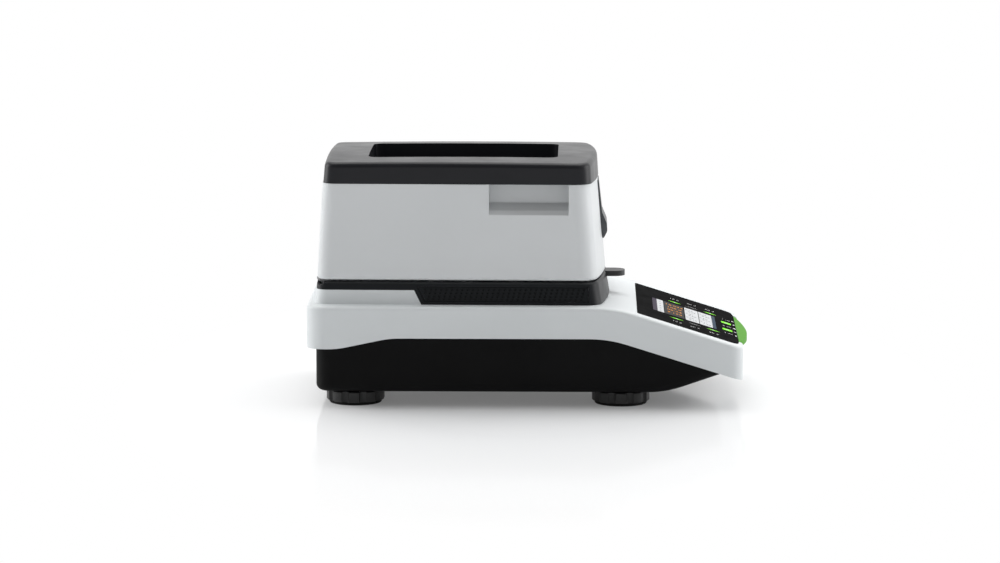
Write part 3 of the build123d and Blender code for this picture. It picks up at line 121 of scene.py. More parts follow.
class Graph:
    """Short calls for the nodes and links of one node tree."""

    def __init__(self, tree: bpy.types.NodeTree) -> None:
        """Keep the tree that the nodes go into."""
        self.tree = tree

    def add(self, kind: str, **settings: object) -> Node:
        """Add a node.

        Args:
            kind: Node type, without the words ShaderNode.
            settings: Properties of the node.

        Returns:
            The new node.
        """
        node = self.tree.nodes.new("ShaderNode" + kind)
        for name, value in settings.items():
            setattr(node, name, value)
        return node

    def plug(self, value: object, socket: Socket) -> None:
        """Link a value to an input, or set it if it is a constant; colours have no alpha."""
        if isinstance(value, Socket):
            self.tree.links.new(value, socket)
        else:
            socket.default_value = (*value, 1.0) if socket.type == "RGBA" else value

    def fill(self, node: Node, *values: object, **named: object) -> Node:
        """Plug values into the inputs of a node.

        Args:
            node: The node.
            values: Values of its first inputs, in their order.
            named: Values by input name, with an underscore for a space.

        Returns:
            The same node.
        """
        for value, socket in zip(values, node.inputs):
            self.plug(value, socket)
        for name, value in named.items():
            self.plug(value, node.inputs[name.replace("_", " ")])
        return node

    def math(self, operation: str, first: object, second: object, clamp: bool = False) -> Socket:
        """Work out a number.

        Args:
            operation: What is worked out.
            first: First value or socket.
            second: Second value or socket.
            clamp: Whether the result stays between 0 and 1.

        Returns:
            The result.
        """
        node = self.add("Math", operation=operation, use_clamp=clamp)
        return self.fill(node, first, second).outputs[0]

    def vector(self, operation: str, *values: object) -> Socket:
        """Work out a vector, or a number for a dot product or a length.

        Args:
            operation: What is worked out.
            values: The vectors.

        Returns:
            The result.
        """
        outputs = self.fill(self.add("VectorMath", operation=operation), *values).outputs
        return outputs["Value" if operation in ("DOT_PRODUCT", "LENGTH") else "Vector"]

    def axis(self, vector: Socket, name: str) -> Socket:
        """Take the X, Y or Z of a vector."""
        return self.fill(self.add("SeparateXYZ"), vector).outputs[name]

    def noise(self, place: object, scale: object, detail: float = 2.0,
              rough: float = 0.5) -> Socket:
        """Add smooth noise.

        Args:
            place: Coordinates that it follows.
            scale: Grains per metre.
            detail: Octaves.
            rough: Share of each finer octave.

        Returns:
            The noise value.
        """
        node = self.add("TexNoise")
        self.fill(node, Vector=place, Scale=scale, Detail=detail, Roughness=rough)
        return node.outputs["Fac"]

    def remap(self, value: object, low: float, high: float, to_low: float = 0.0,
              to_high: float = 1.0) -> Socket:
        """Map a value from one range to another, without going past its ends.

        Args:
            value: Value to map.
            low: Value that gives to_low.
            high: Value that gives to_high.
            to_low: Result at low.
            to_high: Result at high.

        Returns:
            The mapped value.
        """
        node = self.add("MapRange", clamp=True)
        return self.fill(node, value, low, high, to_low, to_high).outputs[0]

    def mix(self, share: object, first: object, second: object,
            kind: Mixed = Mixed.COLOUR) -> Socket:
        """Mix two colours or numbers.

        Args:
            share: How much of the second one shows.
            first: First colour or number.
            second: Second colour or number.
            kind: What is mixed.

        Returns:
            The mixture.
        """
        data_type, start, result = kind.value
        node = self.add("Mix", data_type=data_type)
        for number, item in ((0, share), (start, first), (start + 1, second)):
            self.plug(item, node.inputs[number])
        return node.outputs[result]

    def place(self) -> Socket:
        """Coordinates of the point at rest, in metres."""
        return self.add("TexCoord").outputs["Object"]

    def rays(self, *kinds: str) -> Socket:
        """Give 1 for rays of the named kinds, such as Camera, and 0 for others."""
        path = self.add("LightPath").outputs
        found = path[f"Is {kinds[0]} Ray"]
        for kind in kinds[1:]:
            found = self.math("MAXIMUM", found, path[f"Is {kind} Ray"])
        return found


def empty_graph(holder: bpy.types.Material | bpy.types.World) -> Graph:
    """Switch a material or a world to an empty node tree and return the tree's graph."""
    holder.use_nodes = True
    holder.node_tree.nodes.clear()
    return Graph(holder.node_tree)


class Effect:
    """Surface effect that several materials share, as one shader node group.

    Attributes:
        title: Name of the group.
        inputs: Name, kind and first value of each input.
    """

    title = ""
    inputs: tuple[tuple[str, Kind, object], ...] = ()

    def wire(self, graph: Graph, given: Sockets) -> Sockets:
        """Build the inside of the group.

        Args:
            graph: Graph of the group.
            given: The group's inputs by name.

        Returns:
            What goes to each output, by its name.
        """
        raise NotImplementedError

    def tree(self) -> bpy.types.NodeTree:
        """Node group of the effect, built the first time it is asked for."""
        if self.title in bpy.data.node_groups:
            return bpy.data.node_groups[self.title]
        tree = bpy.data.node_groups.new(self.title, "ShaderNodeTree")
        for name, kind, start in self.inputs:
            socket = tree.interface.new_socket(name=name, in_out="INPUT", socket_type=kind.value)
            socket.default_value = start
        graph = Graph(tree)
        wired = self.wire(graph, tree.nodes.new("NodeGroupInput").outputs)
        for name, socket in wired.items():
            kind = Kind[socket.type]
            tree.interface.new_socket(name=name, in_out="OUTPUT", socket_type=kind.value)
        graph.fill(tree.nodes.new("NodeGroupOutput"), **wired)
        return tree

    def use(self, graph: Graph, **values: object) -> Sockets:
        """Place the effect in a material.

        Args:
            graph: Graph of the material.
            values: Inputs by name, with an underscore for a space.

        Returns:
            The outputs by name.
        """
        return graph.fill(graph.add("Group", node_tree=self.tree()), **values).outputs


class MouldedGrain(Effect):
    """Fine spark-eroded texture of moulded plastic."""

    title = "moulded_grain"
    inputs = (("Grain Size", Kind.VALUE, 0.5 * MM), ("Softness", Kind.VALUE, 0.5))
    roundness = 0.6
    noise_per_cell = 1.7
    tone_scale = 14.0

    def wire(self, graph: Graph, given: Sockets) -> Sockets:
        """Mix rounded cells with noise and add a slow change of tone."""
        place = graph.place()
        scale = graph.math("DIVIDE", 1.0, given["Grain Size"])
        cells = graph.add("TexVoronoi", feature="SMOOTH_F1")
        graph.fill(cells, Vector=place, Scale=scale, Smoothness=self.roundness)
        fine = graph.noise(place, graph.math("MULTIPLY", scale, self.noise_per_cell), 3.0)
        height = graph.mix(given["Softness"], cells.outputs["Distance"], fine, Mixed.NUMBER)
        slow = graph.noise(place, self.tone_scale, 3.0)
        return {"Height": height, "Tone": graph.remap(slow, *MIDDLE)}


class EdgeWearAndHighlight(Effect):
    """Mask of edges, for scuffing and for painted edge highlights, and a normal that rounds them by
    a small radius.
    """

    title = "edge_wear_and_highlight"
    inputs = (("Radius", Kind.VALUE, 0.6 * MM), ("Amount", Kind.VALUE, 0.5))
    likeness_band = (0.99, 0.80)
    patch_scale = 260.0
    patch_band = (0.42, 0.62)
    least_patch = 0.15

    def wire(self, graph: Graph, given: Sockets) -> Sockets:
        """Compare the rounded normal with the true one and break the mask up."""
        rounded = graph.fill(graph.add("Bevel", samples=6), Radius=given["Radius"]).outputs[0]
        true_normal = graph.add("NewGeometry").outputs["Normal"]
        likeness = graph.vector("DOT_PRODUCT", rounded, true_normal)
        turned = graph.remap(likeness, *self.likeness_band)
        patches = graph.noise(graph.place(), self.patch_scale, 4.0, 0.65)
        worn_and_highlit_edge = graph.math("MULTIPLY", turned,
                          graph.remap(patches, *self.patch_band, self.least_patch))
        return {"Mask": graph.math("MULTIPLY", worn_and_highlit_edge, given["Amount"], True), "Normal": rounded}


class HandlingMarks(Effect):
    """Soft smudges and hair scratches that change the gloss."""

    title = "handling_marks"
    inputs = (("Smudge Size", Kind.VALUE, 30.0 * MM), ("Scratch Size", Kind.VALUE, 2.0 * MM))
    smudge_band = (0.35, 0.68)
    line_stretch = (1.0, 0.16, 0.45)
    line_share = 0.2
    line_width = 0.012
    patch_scale = 45.0
    patch_band = (0.55, 0.66)

    def wire(self, graph: Graph, given: Sockets) -> Sockets:
        """Build cloudy smudges, and thin lines between stretched cells."""
        place = graph.place()
        cloud = graph.noise(place, graph.math("DIVIDE", 1.0, given["Smudge Size"]), 4.0, 0.6)
        lines = graph.add("TexVoronoi", feature="DISTANCE_TO_EDGE")
        graph.fill(lines, Vector=graph.vector("MULTIPLY", place, self.line_stretch),
                   Scale=graph.math("DIVIDE", self.line_share, given["Scratch Size"]))
        thin = graph.remap(lines.outputs["Distance"], 0.0, self.line_width, 1.0, 0.0)
        rare = graph.remap(graph.noise(place, self.patch_scale), *self.patch_band)
        return {"Smudge": graph.remap(cloud, *self.smudge_band),
                "Scratch": graph.math("MULTIPLY", thin, rare)}


class BrushedLines(Effect):
    """Fine parallel lines of brushed or rolled sheet metal."""

    title = "brushed_lines"
    inputs = (("Stretch", Kind.VECTOR, (30.0, 3000.0, 3000.0)),)
    tone_scale = 40.0

    def wire(self, graph: Graph, given: Sockets) -> Sockets:
        """Stretch noise along the brushing."""
        place = graph.vector("MULTIPLY", graph.place(), given["Stretch"])
        return {"Height": graph.noise(place, 1.0, 4.0, 0.6),
                "Tone": graph.noise(graph.place(), self.tone_scale, 3.0)}


class TurnedRings(Effect):
    """Concentric lines of turned or spun metal about an upright axis."""

    title = "turned_rings"
    inputs = (("Centre", Kind.VECTOR, (0.0, 0.0, 0.0)), ("Pitch", Kind.VALUE, 0.4 * MM))
    tone_scale = 60.0

    def wire(self, graph: Graph, given: Sockets) -> Sockets:
        """Make noise that depends on the radius alone."""
        local = graph.vector("SUBTRACT", graph.place(), given["Centre"])
        radius = graph.vector("LENGTH", graph.vector("MULTIPLY", local, (1.0, 1.0, 0.0)))
        lines = graph.add("TexNoise", noise_dimensions="1D")
        graph.fill(lines, W=graph.math("DIVIDE", radius, given["Pitch"]), Scale=1.0, Detail=4.0)
        return {"Height": lines.outputs["Fac"],
                "Tone": graph.noise(graph.place(), self.tone_scale, 3.0)}


class DustFilm(Effect):
    """Thin dust that lies on faces that look up."""

    title = "dust_film"
    inputs = (("Amount", Kind.VALUE, 0.1),)
    upward_band = (0.55, 0.95)
    speck_scale = 900.0
    speck_band = (0.45, 0.75)
    least_speck = 0.2

    def wire(self, graph: Graph, given: Sockets) -> Sockets:
        """Take the upward faces and break the film up."""
        normal = graph.add("NewGeometry").outputs["Normal"]
        upward = graph.remap(graph.axis(normal, "Z"), *self.upward_band)
        grains = graph.noise(graph.place(), self.speck_scale, 3.0, 0.7)
        film = graph.math("MULTIPLY", upward,
                          graph.remap(grains, *self.speck_band, self.least_speck))
        return {"Mask": graph.math("MULTIPLY", film, given["Amount"], True)}


MOULDED_GRAIN = MouldedGrain()
# edge mask: scuffing, and painted edge highlights on the white housings and on sheet metal
EDGE_WEAR_AND_HIGHLIGHT = EdgeWearAndHighlight()
HANDLING_MARKS = HandlingMarks()
BRUSHED_LINES = BrushedLines()
TURNED_RINGS = TurnedRings()
DUST_FILM = DustFilm()


@dataclass(frozen=True)
class Finish:
    """Finish of one kind of surface.

    Attributes:
        name: Name of the material.
        colour: Linear base colour.
        roughness: Mean roughness.
        gloss_spans: How far the roughness goes below and above its mean.
    """

    name: str
    colour: Colour
    roughness: float
    gloss_spans = (0.0, 0.06)

    def wire(self, graph: Graph, shader: Node) -> None:
        """Link the finish into its Principled shader.

        Args:
            graph: Graph of the material.
            shader: The shader, which has the base colour and the roughness.
        """
        raise NotImplementedError

    def gloss(self, graph: Graph, height: Socket, band: Point = (0.0, 1.0)) -> Socket:
        """Vary the roughness with a height.

        Args:
            graph: Graph of the material.
            height: The height.
            band: Heights of the lowest and the highest roughness.

        Returns:
            The roughness.
        """
        less, more = self.gloss_spans
        return graph.remap(height, *band, self.roughness - less, self.roughness + more)

    def material(self) -> bpy.types.Material:
        """Material of the finish, built the first time it is asked for."""
        title = "finish_" + self.name
        if title in bpy.data.materials:
            return bpy.data.materials[title]
        made = bpy.data.materials.new(title)
        made.diffuse_color = (*self.colour, 1.0)
        graph = empty_graph(made)
        shader = graph.add("BsdfPrincipled")
        graph.fill(shader, Base_Color=self.colour, Roughness=self.roughness)
        graph.fill(graph.add("OutputMaterial"), Surface=shader.outputs[0])
        self.wire(graph, shader)
        return made


def bump(graph: Graph, shader: Node, height: Socket, depth: float,
         normal: Socket | None = None) -> None:
    """Feed a height into the shader's normal.

    Args:
        graph: Graph of the material.
        shader: Principled shader.
        height: Height between 0 and 1.
        depth: What 1 stands for, in metres.
        normal: Normal to start from.
    """
    node = graph.fill(graph.add("Bump"), Strength=1.0, Distance=depth, Height=height)
    if normal is not None:
        graph.fill(node, Normal=normal)
    graph.fill(shader, Normal=node.outputs[0])


@dataclass(frozen=True)
class MouldedPlastic(Finish):
    """Moulded plastic with grain, handling marks, rounded edges in an edge colour and a little
    dust; the edge colour is scuffing on most parts and a painted highlight on the white housings.

    Attributes:
        worn_and_highlit_edge: Colour of the edges: scuffing on most parts, a painted highlight on
            the white housings.
        wear_and_highlight_share: How much of the edges gets that colour.
        grain_size: Width of one grain.
        grain_depth: Height of one grain.
        edge_radius: Radius that sharp edges are rounded by.
        tone: Relative change of lightness over the surface.
        dust: Amount of dust on top faces.
        specular: Specular level of the shader.
    """

    worn_and_highlit_edge: Colour = grey(0.5)
    wear_and_highlight_share: float = 0.3
    grain_size: float = 0.6 * MM
    grain_depth: float = 12 * MICRON
    edge_radius: float = 0.5 * MM
    tone: float = 0.03
    dust: float = 0.05
    specular: float = 0.5
    gloss_spans = (0.03, 0.05)
    scratch_gloss = 0.05
    dust_gloss = 0.6

    def wire(self, graph: Graph, shader: Node) -> None:
        """Layer tone, the edge colour and dust in the colour, and marks in the roughness; the edge
        colour is a painted highlight on the white housings.
        """
        grain = MOULDED_GRAIN.use(graph, Grain_Size=self.grain_size)
        edges = EDGE_WEAR_AND_HIGHLIGHT.use(graph, Radius=self.edge_radius, Amount=self.wear_and_highlight_share)
        marks = HANDLING_MARKS.use(graph)
        dust = DUST_FILM.use(graph, Amount=self.dust)["Mask"]
        base = graph.mix(grain["Tone"], scaled(self.colour, 1 - self.tone),
                         scaled(self.colour, 1 + self.tone))
        # edge colour: scuffing on most parts, a painted highlight on the white housings
        base = graph.mix(edges["Mask"], base, self.worn_and_highlit_edge)
        gloss = self.gloss(graph, marks["Smudge"])
        scratches = graph.math("MULTIPLY", marks["Scratch"], self.scratch_gloss)
        gloss = graph.math("ADD", gloss, scratches)
        dull = graph.math("MULTIPLY", dust, self.dust_gloss)
        graph.fill(shader, Base_Color=graph.mix(dust, base, DUST),
                   Roughness=graph.math("ADD", gloss, dull, True),
                   Specular_IOR_Level=self.specular)
        bump(graph, shader, grain["Height"], self.grain_depth, edges["Normal"])


@dataclass(frozen=True)
class SheetMetal(Finish):
    """Brushed, rolled or plated sheet metal.

    Attributes:
        stretch: Grains per metre along X, Y and Z, low along the brushing.
        depth: Height of the lines.
        tone: Relative change of lightness over the surface.
    """

    stretch: Place = (30.0, 3000.0, 3000.0)
    depth: float = 4 * MICRON
    tone: float = 0.08
    gloss_spans = (0.06, 0.06)
    edge_radius = 0.3 * MM
    painted_edge_highlight = 1.15
    smudge_size = 20.0 * MM
    smudge_gloss = 0.08

    def wire(self, graph: Graph, shader: Node) -> None:
        """Use the lines in the roughness and the normal, and paint a highlight on the edges."""
        lines = BRUSHED_LINES.use(graph, Stretch=self.stretch)
        edges = EDGE_WEAR_AND_HIGHLIGHT.use(graph, Radius=self.edge_radius)
        marks = HANDLING_MARKS.use(graph, Smudge_Size=self.smudge_size)
        base = graph.mix(lines["Tone"], scaled(self.colour, 1 - self.tone), self.colour)
        gloss = self.gloss(graph, lines["Height"], MIDDLE)
        smudges = graph.math("MULTIPLY", marks["Smudge"], self.smudge_gloss)
        # painted highlight: the edges are made lighter than the sheet
        highlit_edge = scaled(self.colour, self.painted_edge_highlight)
        graph.fill(shader, Base_Color=graph.mix(edges["Mask"], base, highlit_edge), Metallic=1.0,
                   Roughness=graph.math("ADD", gloss, smudges, True))
        bump(graph, shader, lines["Height"], self.depth, edges["Normal"])


@dataclass(frozen=True)
class SpunMetal(Finish):
    """Turned or spun metal about an upright axis.

    Attributes:
        centre: Point on the axis.
        pitch: Width of one line.
        depth: Height of the lines.
    """

    centre: Place = (0.0, 0.0, 0.0)
    pitch: float = 0.4 * MM
    depth: float = 4 * MICRON
    gloss_spans = (0.05, 0.07)
    edge_radius = 0.3 * MM
    tone = 0.1

    def wire(self, graph: Graph, shader: Node) -> None:
        """Use the rings in the roughness and the normal."""
        rings = TURNED_RINGS.use(graph, Centre=self.centre, Pitch=self.pitch)
        edges = EDGE_WEAR_AND_HIGHLIGHT.use(graph, Radius=self.edge_radius)
        base = graph.mix(rings["Tone"], scaled(self.colour, 1 - self.tone), self.colour)
        graph.fill(shader, Base_Color=base, Metallic=1.0,
                   Roughness=self.gloss(graph, rings["Height"], MIDDLE))
        bump(graph, shader, rings["Height"], self.depth, edges["Normal"])


@dataclass(frozen=True)
class Glass(Finish):
    """Clear glass or quartz with faint smudges.

    Attributes:
        index: Refractive index.
    """

    index: float = 1.46
    smudge_size = 15.0 * MM

    def wire(self, graph: Graph, shader: Node) -> None:
        """Let light through and smudge the roughness."""
        marks = HANDLING_MARKS.use(graph, Smudge_Size=self.smudge_size)
        graph.fill(shader, Transmission_Weight=1.0, IOR=self.index,
                   Roughness=self.gloss(graph, marks["Smudge"]))


@dataclass(frozen=True)
class DarkGlass(Finish):
    """Black backprinted touch glass: deep black with a thin gloss.

    Attributes:
        coat: Weight of the gloss.
    """

    coat: float = 0.05
    coat_roughness = 0.06
    smudged_coat = 0.6
    smudged_tint = 1.4
    smudge_size = 12.0 * MM
    edge_radius = 0.4 * MM
    scratch_depth = -1 * MICRON

    def wire(self, graph: Graph, shader: Node) -> None:
        """Smudge a weak coat over a black body."""
        marks = HANDLING_MARKS.use(graph, Smudge_Size=self.smudge_size)
        edges = EDGE_WEAR_AND_HIGHLIGHT.use(graph, Radius=self.edge_radius)
        shine = graph.remap(marks["Smudge"], 0.0, 1.0, self.coat, self.coat * self.smudged_coat)
        tint = graph.mix(marks["Smudge"], self.colour, scaled(self.colour, self.smudged_tint))
        graph.fill(shader, Base_Color=tint, Specular_IOR_Level=0.0, Coat_Weight=shine,
                   Coat_Roughness=self.coat_roughness)
        bump(graph, shader, marks["Scratch"], self.scratch_depth, edges["Normal"])


@dataclass(frozen=True)
class LitPrint(Finish):
    """Lit part of a display, or a print on the glass, where the glow is painted light.

    Attributes:
        glow: Emission strength, which on a print on the glass is painted light.
    """

    glow: float = 0.6
    cell = 0.25 * MM
    dim_cell = 0.92
    cloud_scale = 90.0
    cloud_depth = 0.06
    specular = 0.03

    def wire(self, graph: Graph, shader: Node) -> None:
        """Give the print its glow, painted light on a print on the glass, with the faint grid of
        the display cells.
        """
        grid = graph.fill(graph.add("TexChecker"), Vector=graph.place(), Scale=1 / self.cell)
        colour = graph.mix(grid.outputs["Fac"], self.colour, scaled(self.colour, self.dim_cell))
        clouds = graph.noise(graph.place(), self.cloud_scale)
        colour = graph.mix(graph.remap(clouds, *MIDDLE, 0.0, self.cloud_depth), colour, grey(0.0))
        graph.fill(shader, Base_Color=colour, Emission_Color=colour,
                   Emission_Strength=self.glow, Specular_IOR_Level=self.specular)


@dataclass(frozen=True)
class LitLens(Finish):
    """Translucent lens of the status light, brighter along its edges.

    Attributes:
        rim: Colour along the edges.
        glow: Emission strength.
    """

    rim: Colour = (0.2, 1.0, 0.4)
    glow: float = 0.35
    rim_width = 0.8 * MM
    rim_share = 0.8
    cloud_scale = 120.0
    cloud_depth = 0.12
    cloud_tint = 0.7
    specular = 0.04

    def wire(self, graph: Graph, shader: Node) -> None:
        """Brighten the edges and mottle the body a little."""
        edges = EDGE_WEAR_AND_HIGHLIGHT.use(graph, Radius=self.rim_width, Amount=self.rim_share)
        clouds = graph.noise(graph.place(), self.cloud_scale, 3.0)
        colour = graph.mix(graph.remap(clouds, *MIDDLE, 0.0, self.cloud_depth), self.colour,
                           scaled(self.colour, self.cloud_tint))
        colour = graph.mix(edges["Mask"], colour, self.rim)
        graph.fill(shader, Base_Color=colour, Emission_Color=colour,
                   Emission_Strength=self.glow, Specular_IOR_Level=self.specular,
                   Normal=edges["Normal"])


@dataclass(frozen=True)
class BoardLacquer(Finish):
    """Circuit board with traces under its lacquer and darker components.

    Attributes:
        component: Colour of what stands up from the board.
        top: Height above which everything is a component.
    """

    component: Colour = (0.02, 0.02, 0.022)
    top: float = 25.2 * MM
    trace_scale = 260.0
    trace_band = (0.05, 0.09)
    trace_light = 2.2
    trace_height = 30 * MICRON
    step = 0.1 * MM

    def wire(self, graph: Graph, shader: Node) -> None:
        """Draw the traces between cells, and darken the components by height."""
        place = graph.place()
        cells = graph.add("TexVoronoi", feature="DISTANCE_TO_EDGE")
        graph.fill(cells, Vector=place, Scale=self.trace_scale)
        traces = graph.remap(cells.outputs["Distance"], *self.trace_band, 1.0, 0.0)
        base = graph.mix(traces, self.colour, scaled(self.colour, self.trace_light))
        above = graph.remap(graph.axis(place, "Z"), self.top, self.top + self.step)
        graph.fill(shader, Base_Color=graph.mix(above, base, self.component))
        bump(graph, shader, traces, self.trace_height)


def upright_axis(name: str) -> Place:
    """Point on the floor under the middle of a node."""
    low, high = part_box(name)
    return (low.x + high.x) / 2, (low.y + high.y) / 2, 0.0


# the lighter edge colour of this white plastic is a painted edge highlight
WHITE_HOUSING = MouldedPlastic(
    "white_housing", (0.76, 0.79, 0.80), 0.42, worn_and_highlit_edge=(0.88, 0.89, 0.89), wear_and_highlight_share=0.25, tone=0.012,
    dust=0.02
)
# darker copy of the white housing's plastic: painted shade on the hood; its lighter edge colour is
# a painted edge highlight
HOOD_HOUSING_PAINTED_SHADE = MouldedPlastic(
    "hood_housing", (0.735, 0.755, 0.765), 0.40, worn_and_highlit_edge=(0.88, 0.89, 0.89), wear_and_highlight_share=0.25, tone=0.012,
    dust=0.02
)
BLACK_TRAY = MouldedPlastic(
    "black_tray", (0.0035, 0.0035, 0.0037), 0.55, worn_and_highlit_edge=grey(0.015), wear_and_highlight_share=0.4, grain_size=0.9 * MM,
    grain_depth=30 * MICRON, tone=0.15, dust=0.01, specular=0.10
)
VENT_PLASTIC = MouldedPlastic(
    "vent_plastic", (0.007, 0.0085, 0.0105), 0.40, worn_and_highlit_edge=(0.03, 0.034, 0.038), wear_and_highlight_share=0.35, tone=0.10,
    specular=0.22
)
VENT_MESH = MouldedPlastic(
    "vent_mesh", (0.006, 0.0075, 0.009), 0.42, wear_and_highlight_share=0.0, edge_radius=0.0, grain_depth=3 * MICRON,
    tone=0.08, specular=0.22
)
CAP_PLASTIC = MouldedPlastic(
    "cap_plastic", (0.009, 0.0095, 0.0125), 0.31, worn_and_highlit_edge=(0.04, 0.043, 0.048), wear_and_highlight_share=0.35, tone=0.10,
    dust=0.03, specular=0.28
)
WELL_PLASTIC = MouldedPlastic(
    "well_plastic", (0.010, 0.0105, 0.0125), 0.5, worn_and_highlit_edge=grey(0.03), tone=0.12
)
GRIP_PLASTIC = MouldedPlastic(
    "grip_plastic", (0.06, 0.065, 0.07), 0.38, worn_and_highlit_edge=(0.16, 0.17, 0.18), wear_and_highlight_share=0.5,
    grain_size=1.0 * MM, grain_depth=20 * MICRON, tone=0.08
)
FOOT_PLASTIC = MouldedPlastic(
    "foot_plastic", grey(0.009), 0.45, worn_and_highlit_edge=grey(0.04), wear_and_highlight_share=0.6, tone=0.15
)
FOOT_RUBBER = MouldedPlastic(
    "foot_rubber", grey(0.008), 0.8, worn_and_highlit_edge=grey(0.03), wear_and_highlight_share=0.5, grain_size=0.4 * MM,
    grain_depth=40 * MICRON, tone=0.25, specular=0.3
)
HANDLER_PLASTIC = MouldedPlastic(
    "handler_plastic", (0.016, 0.017, 0.019), 0.40, worn_and_highlit_edge=(0.05, 0.05, 0.055), wear_and_highlight_share=0.5, tone=0.10
)
FRAME_PLASTIC = MouldedPlastic("frame_plastic", (0.05, 0.05, 0.055), 0.6, worn_and_highlit_edge=grey(0.12), tone=0.1)
REAR_PLASTIC = MouldedPlastic(
    "rear_plastic", (0.02, 0.02, 0.022), 0.55, worn_and_highlit_edge=grey(0.06), wear_and_highlight_share=0.4, grain_depth=30 * MICRON,
    tone=0.12
)
SOCKET_PLASTIC = MouldedPlastic(
    "socket_plastic", grey(0.008), 0.42, worn_and_highlit_edge=grey(0.03), wear_and_highlight_share=0.4, tone=0.15
)
ROCKER_PLASTIC = MouldedPlastic(
    "rocker_plastic", grey(0.010), 0.22, worn_and_highlit_edge=grey(0.05), wear_and_highlight_share=0.5, grain_depth=4 * MICRON
)
CERAMIC = MouldedPlastic(
    "ceramic", (0.66, 0.62, 0.54), 0.65, worn_and_highlit_edge=(0.75, 0.72, 0.66), wear_and_highlight_share=0.4, grain_size=0.3 * MM,
    grain_depth=30 * MICRON, tone=0.08
)
STEEL_SHEET = SheetMetal("steel_sheet", (0.56, 0.57, 0.58), 0.34, (25.0, 2500.0, 2500.0))
HINGE_STEEL = SheetMetal("hinge_steel", (0.50, 0.50, 0.51), 0.38, (2200.0, 60.0, 2200.0))
HINGE_PIN_STEEL = SheetMetal("hinge_pin_steel", grey(0.66), 0.22, (2400.0, 40.0, 2400.0))
ZINC_SCREWS = SheetMetal("zinc_screws", (0.62, 0.63, 0.64), 0.30, (1800.0, 1800.0, 60.0))
ZINC_SHEET = SheetMetal("zinc_sheet", (0.60, 0.62, 0.64), 0.42, (90.0, 90.0, 900.0), tone=0.25)
BRASS = SheetMetal("brass", (0.78, 0.58, 0.26), 0.28, (1600.0, 1600.0, 60.0))
CAST_ALUMINIUM = SheetMetal("cast_aluminium", (0.66, 0.67, 0.68), 0.48, (900.0, 900.0, 900.0))
NICKEL = SheetMetal("nickel", (0.70, 0.68, 0.64), 0.24, (60.0, 1800.0, 1800.0))
PAN_AXIS = upright_axis("sample_pan")
PAN_ALUMINIUM = SpunMetal("pan_aluminium", grey(0.80), 0.30, PAN_AXIS)
CHAMBER_STEEL = SpunMetal("chamber_steel", (0.58, 0.58, 0.59), 0.32, PAN_AXIS)
GOLD_REFLECTOR = SpunMetal("gold_reflector", (0.90, 0.66, 0.28), 0.16, PAN_AXIS)
PROBE_STEEL = SpunMetal("probe_steel", grey(0.58), 0.26, PAN_AXIS)
CIRCUIT_BOARD = BoardLacquer("circuit_board", (0.01, 0.09, 0.04), 0.35)
CLEAR_GLASS = Glass("clear_glass", (0.97, 0.985, 0.98), 0.02, index=1.50)
QUARTZ = Glass("quartz", grey(0.99), 0.0, index=1.45)
PANEL_GLASS = DarkGlass("panel_glass", (0.0012, 0.0012, 0.0014), 0.30)
STATUS_GREEN = LitLens("status_green", shade(78, 152, 14), 0.40, rim=shade(90, 205, 80), glow=0.08)
SCREEN_WHITE = LitPrint("screen_white", (0.50, 0.51, 0.52), 0.4, glow=0.45)
SCREEN_DARK = LitPrint("screen_dark", (0.002, 0.002, 0.0025), 0.4, glow=0.1)
SCREEN_PURPLE = LitPrint("screen_purple", shade(44, 30, 54), 0.4, glow=0.1)
SCREEN_BLUE = LitPrint("screen_blue", shade(24, 52, 74), 0.4, glow=0.1)
FIGURES_AMBER = LitPrint("figures_amber", shade(214, 138, 40), 0.4, glow=0.8)
FIGURES_GREY = LitPrint("figures_grey", shade(60, 64, 72), 0.5, glow=0.0)
# the glow of these two prints on the glass is painted light
PRINT_WHITE = LitPrint("print_white", grey(0.60), 0.6, glow=0.30)
PRINT_GREEN = LitPrint("print_green", shade(122, 214, 50), 0.5, glow=0.55)


def dress(finish: Finish, *names: str) -> None:
    """Give CAD nodes a finish.

    Args:
        finish: The finish.
        names: Names of the nodes.
    """
    for name in names:
        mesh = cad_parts[name].data
        mesh.materials.clear()
        mesh.materials.append(finish.material())
        LOG.info("dressed %s with %s", name, finish.name)


def add_object(name: str, data: bpy.types.ID) -> bpy.types.Object:
    """Put a new object with its mesh, camera or light into the scene."""
    made = bpy.data.objects.new(name, data)
    bpy.context.scene.collection.objects.link(made)
    return made


def aim(thing: bpy.types.Object, place: Vector, target: Vector) -> None:
    """Move a camera or a lamp to a place and turn it to its target."""
    thing.location = place
    thing.rotation_mode = "QUATERNION"
    thing.rotation_quaternion = (target - place).to_track_quat("-Z", "Y")


def add_piece(name: str, shape: Shape, finish: Finish) -> bpy.types.Object:
    """Turn a finished shape into a piece of the housing.

    Args:
        name: Name of the piece.
        shape: Its mesh in the object's frame; it is freed here.
        finish: Its finish.

    Returns:
        The new object.
    """
    bmesh.ops.recalc_face_normals(shape, faces=shape.faces)
    mesh = bpy.data.meshes.new(name)
    shape.to_mesh(mesh)
    shape.free()
    mesh.materials.append(finish.material())
    piece = add_object(name, mesh)
    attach(piece, "root")
    LOG.info("built %s with %d faces", name, len(mesh.polygons))
    return piece


def join_loops(shape: Shape, first: Loop, second: Loop) -> None:
    """Close the band between two loops of as many points."""
    for number in range(len(first)):
        shape.faces.new((first[number - 1], second[number - 1], second[number], first[number]))


def add_solid(shape: Shape, bottom: Iterable[Vector], top: Iterable[Vector]) -> None:
    """Add a closed solid between two flat outlines of as many corners.

    Args:
        shape: Mesh that it goes into.
        bottom: Corners of its lower face.
        top: Corners of its upper face.
    """
    low = [shape.verts.new(corner) for corner in bottom]
    high = [shape.verts.new(corner) for corner in top]
    shape.faces.new(list(reversed(low)))
    shape.faces.new(high)
    join_loops(shape, low, high)


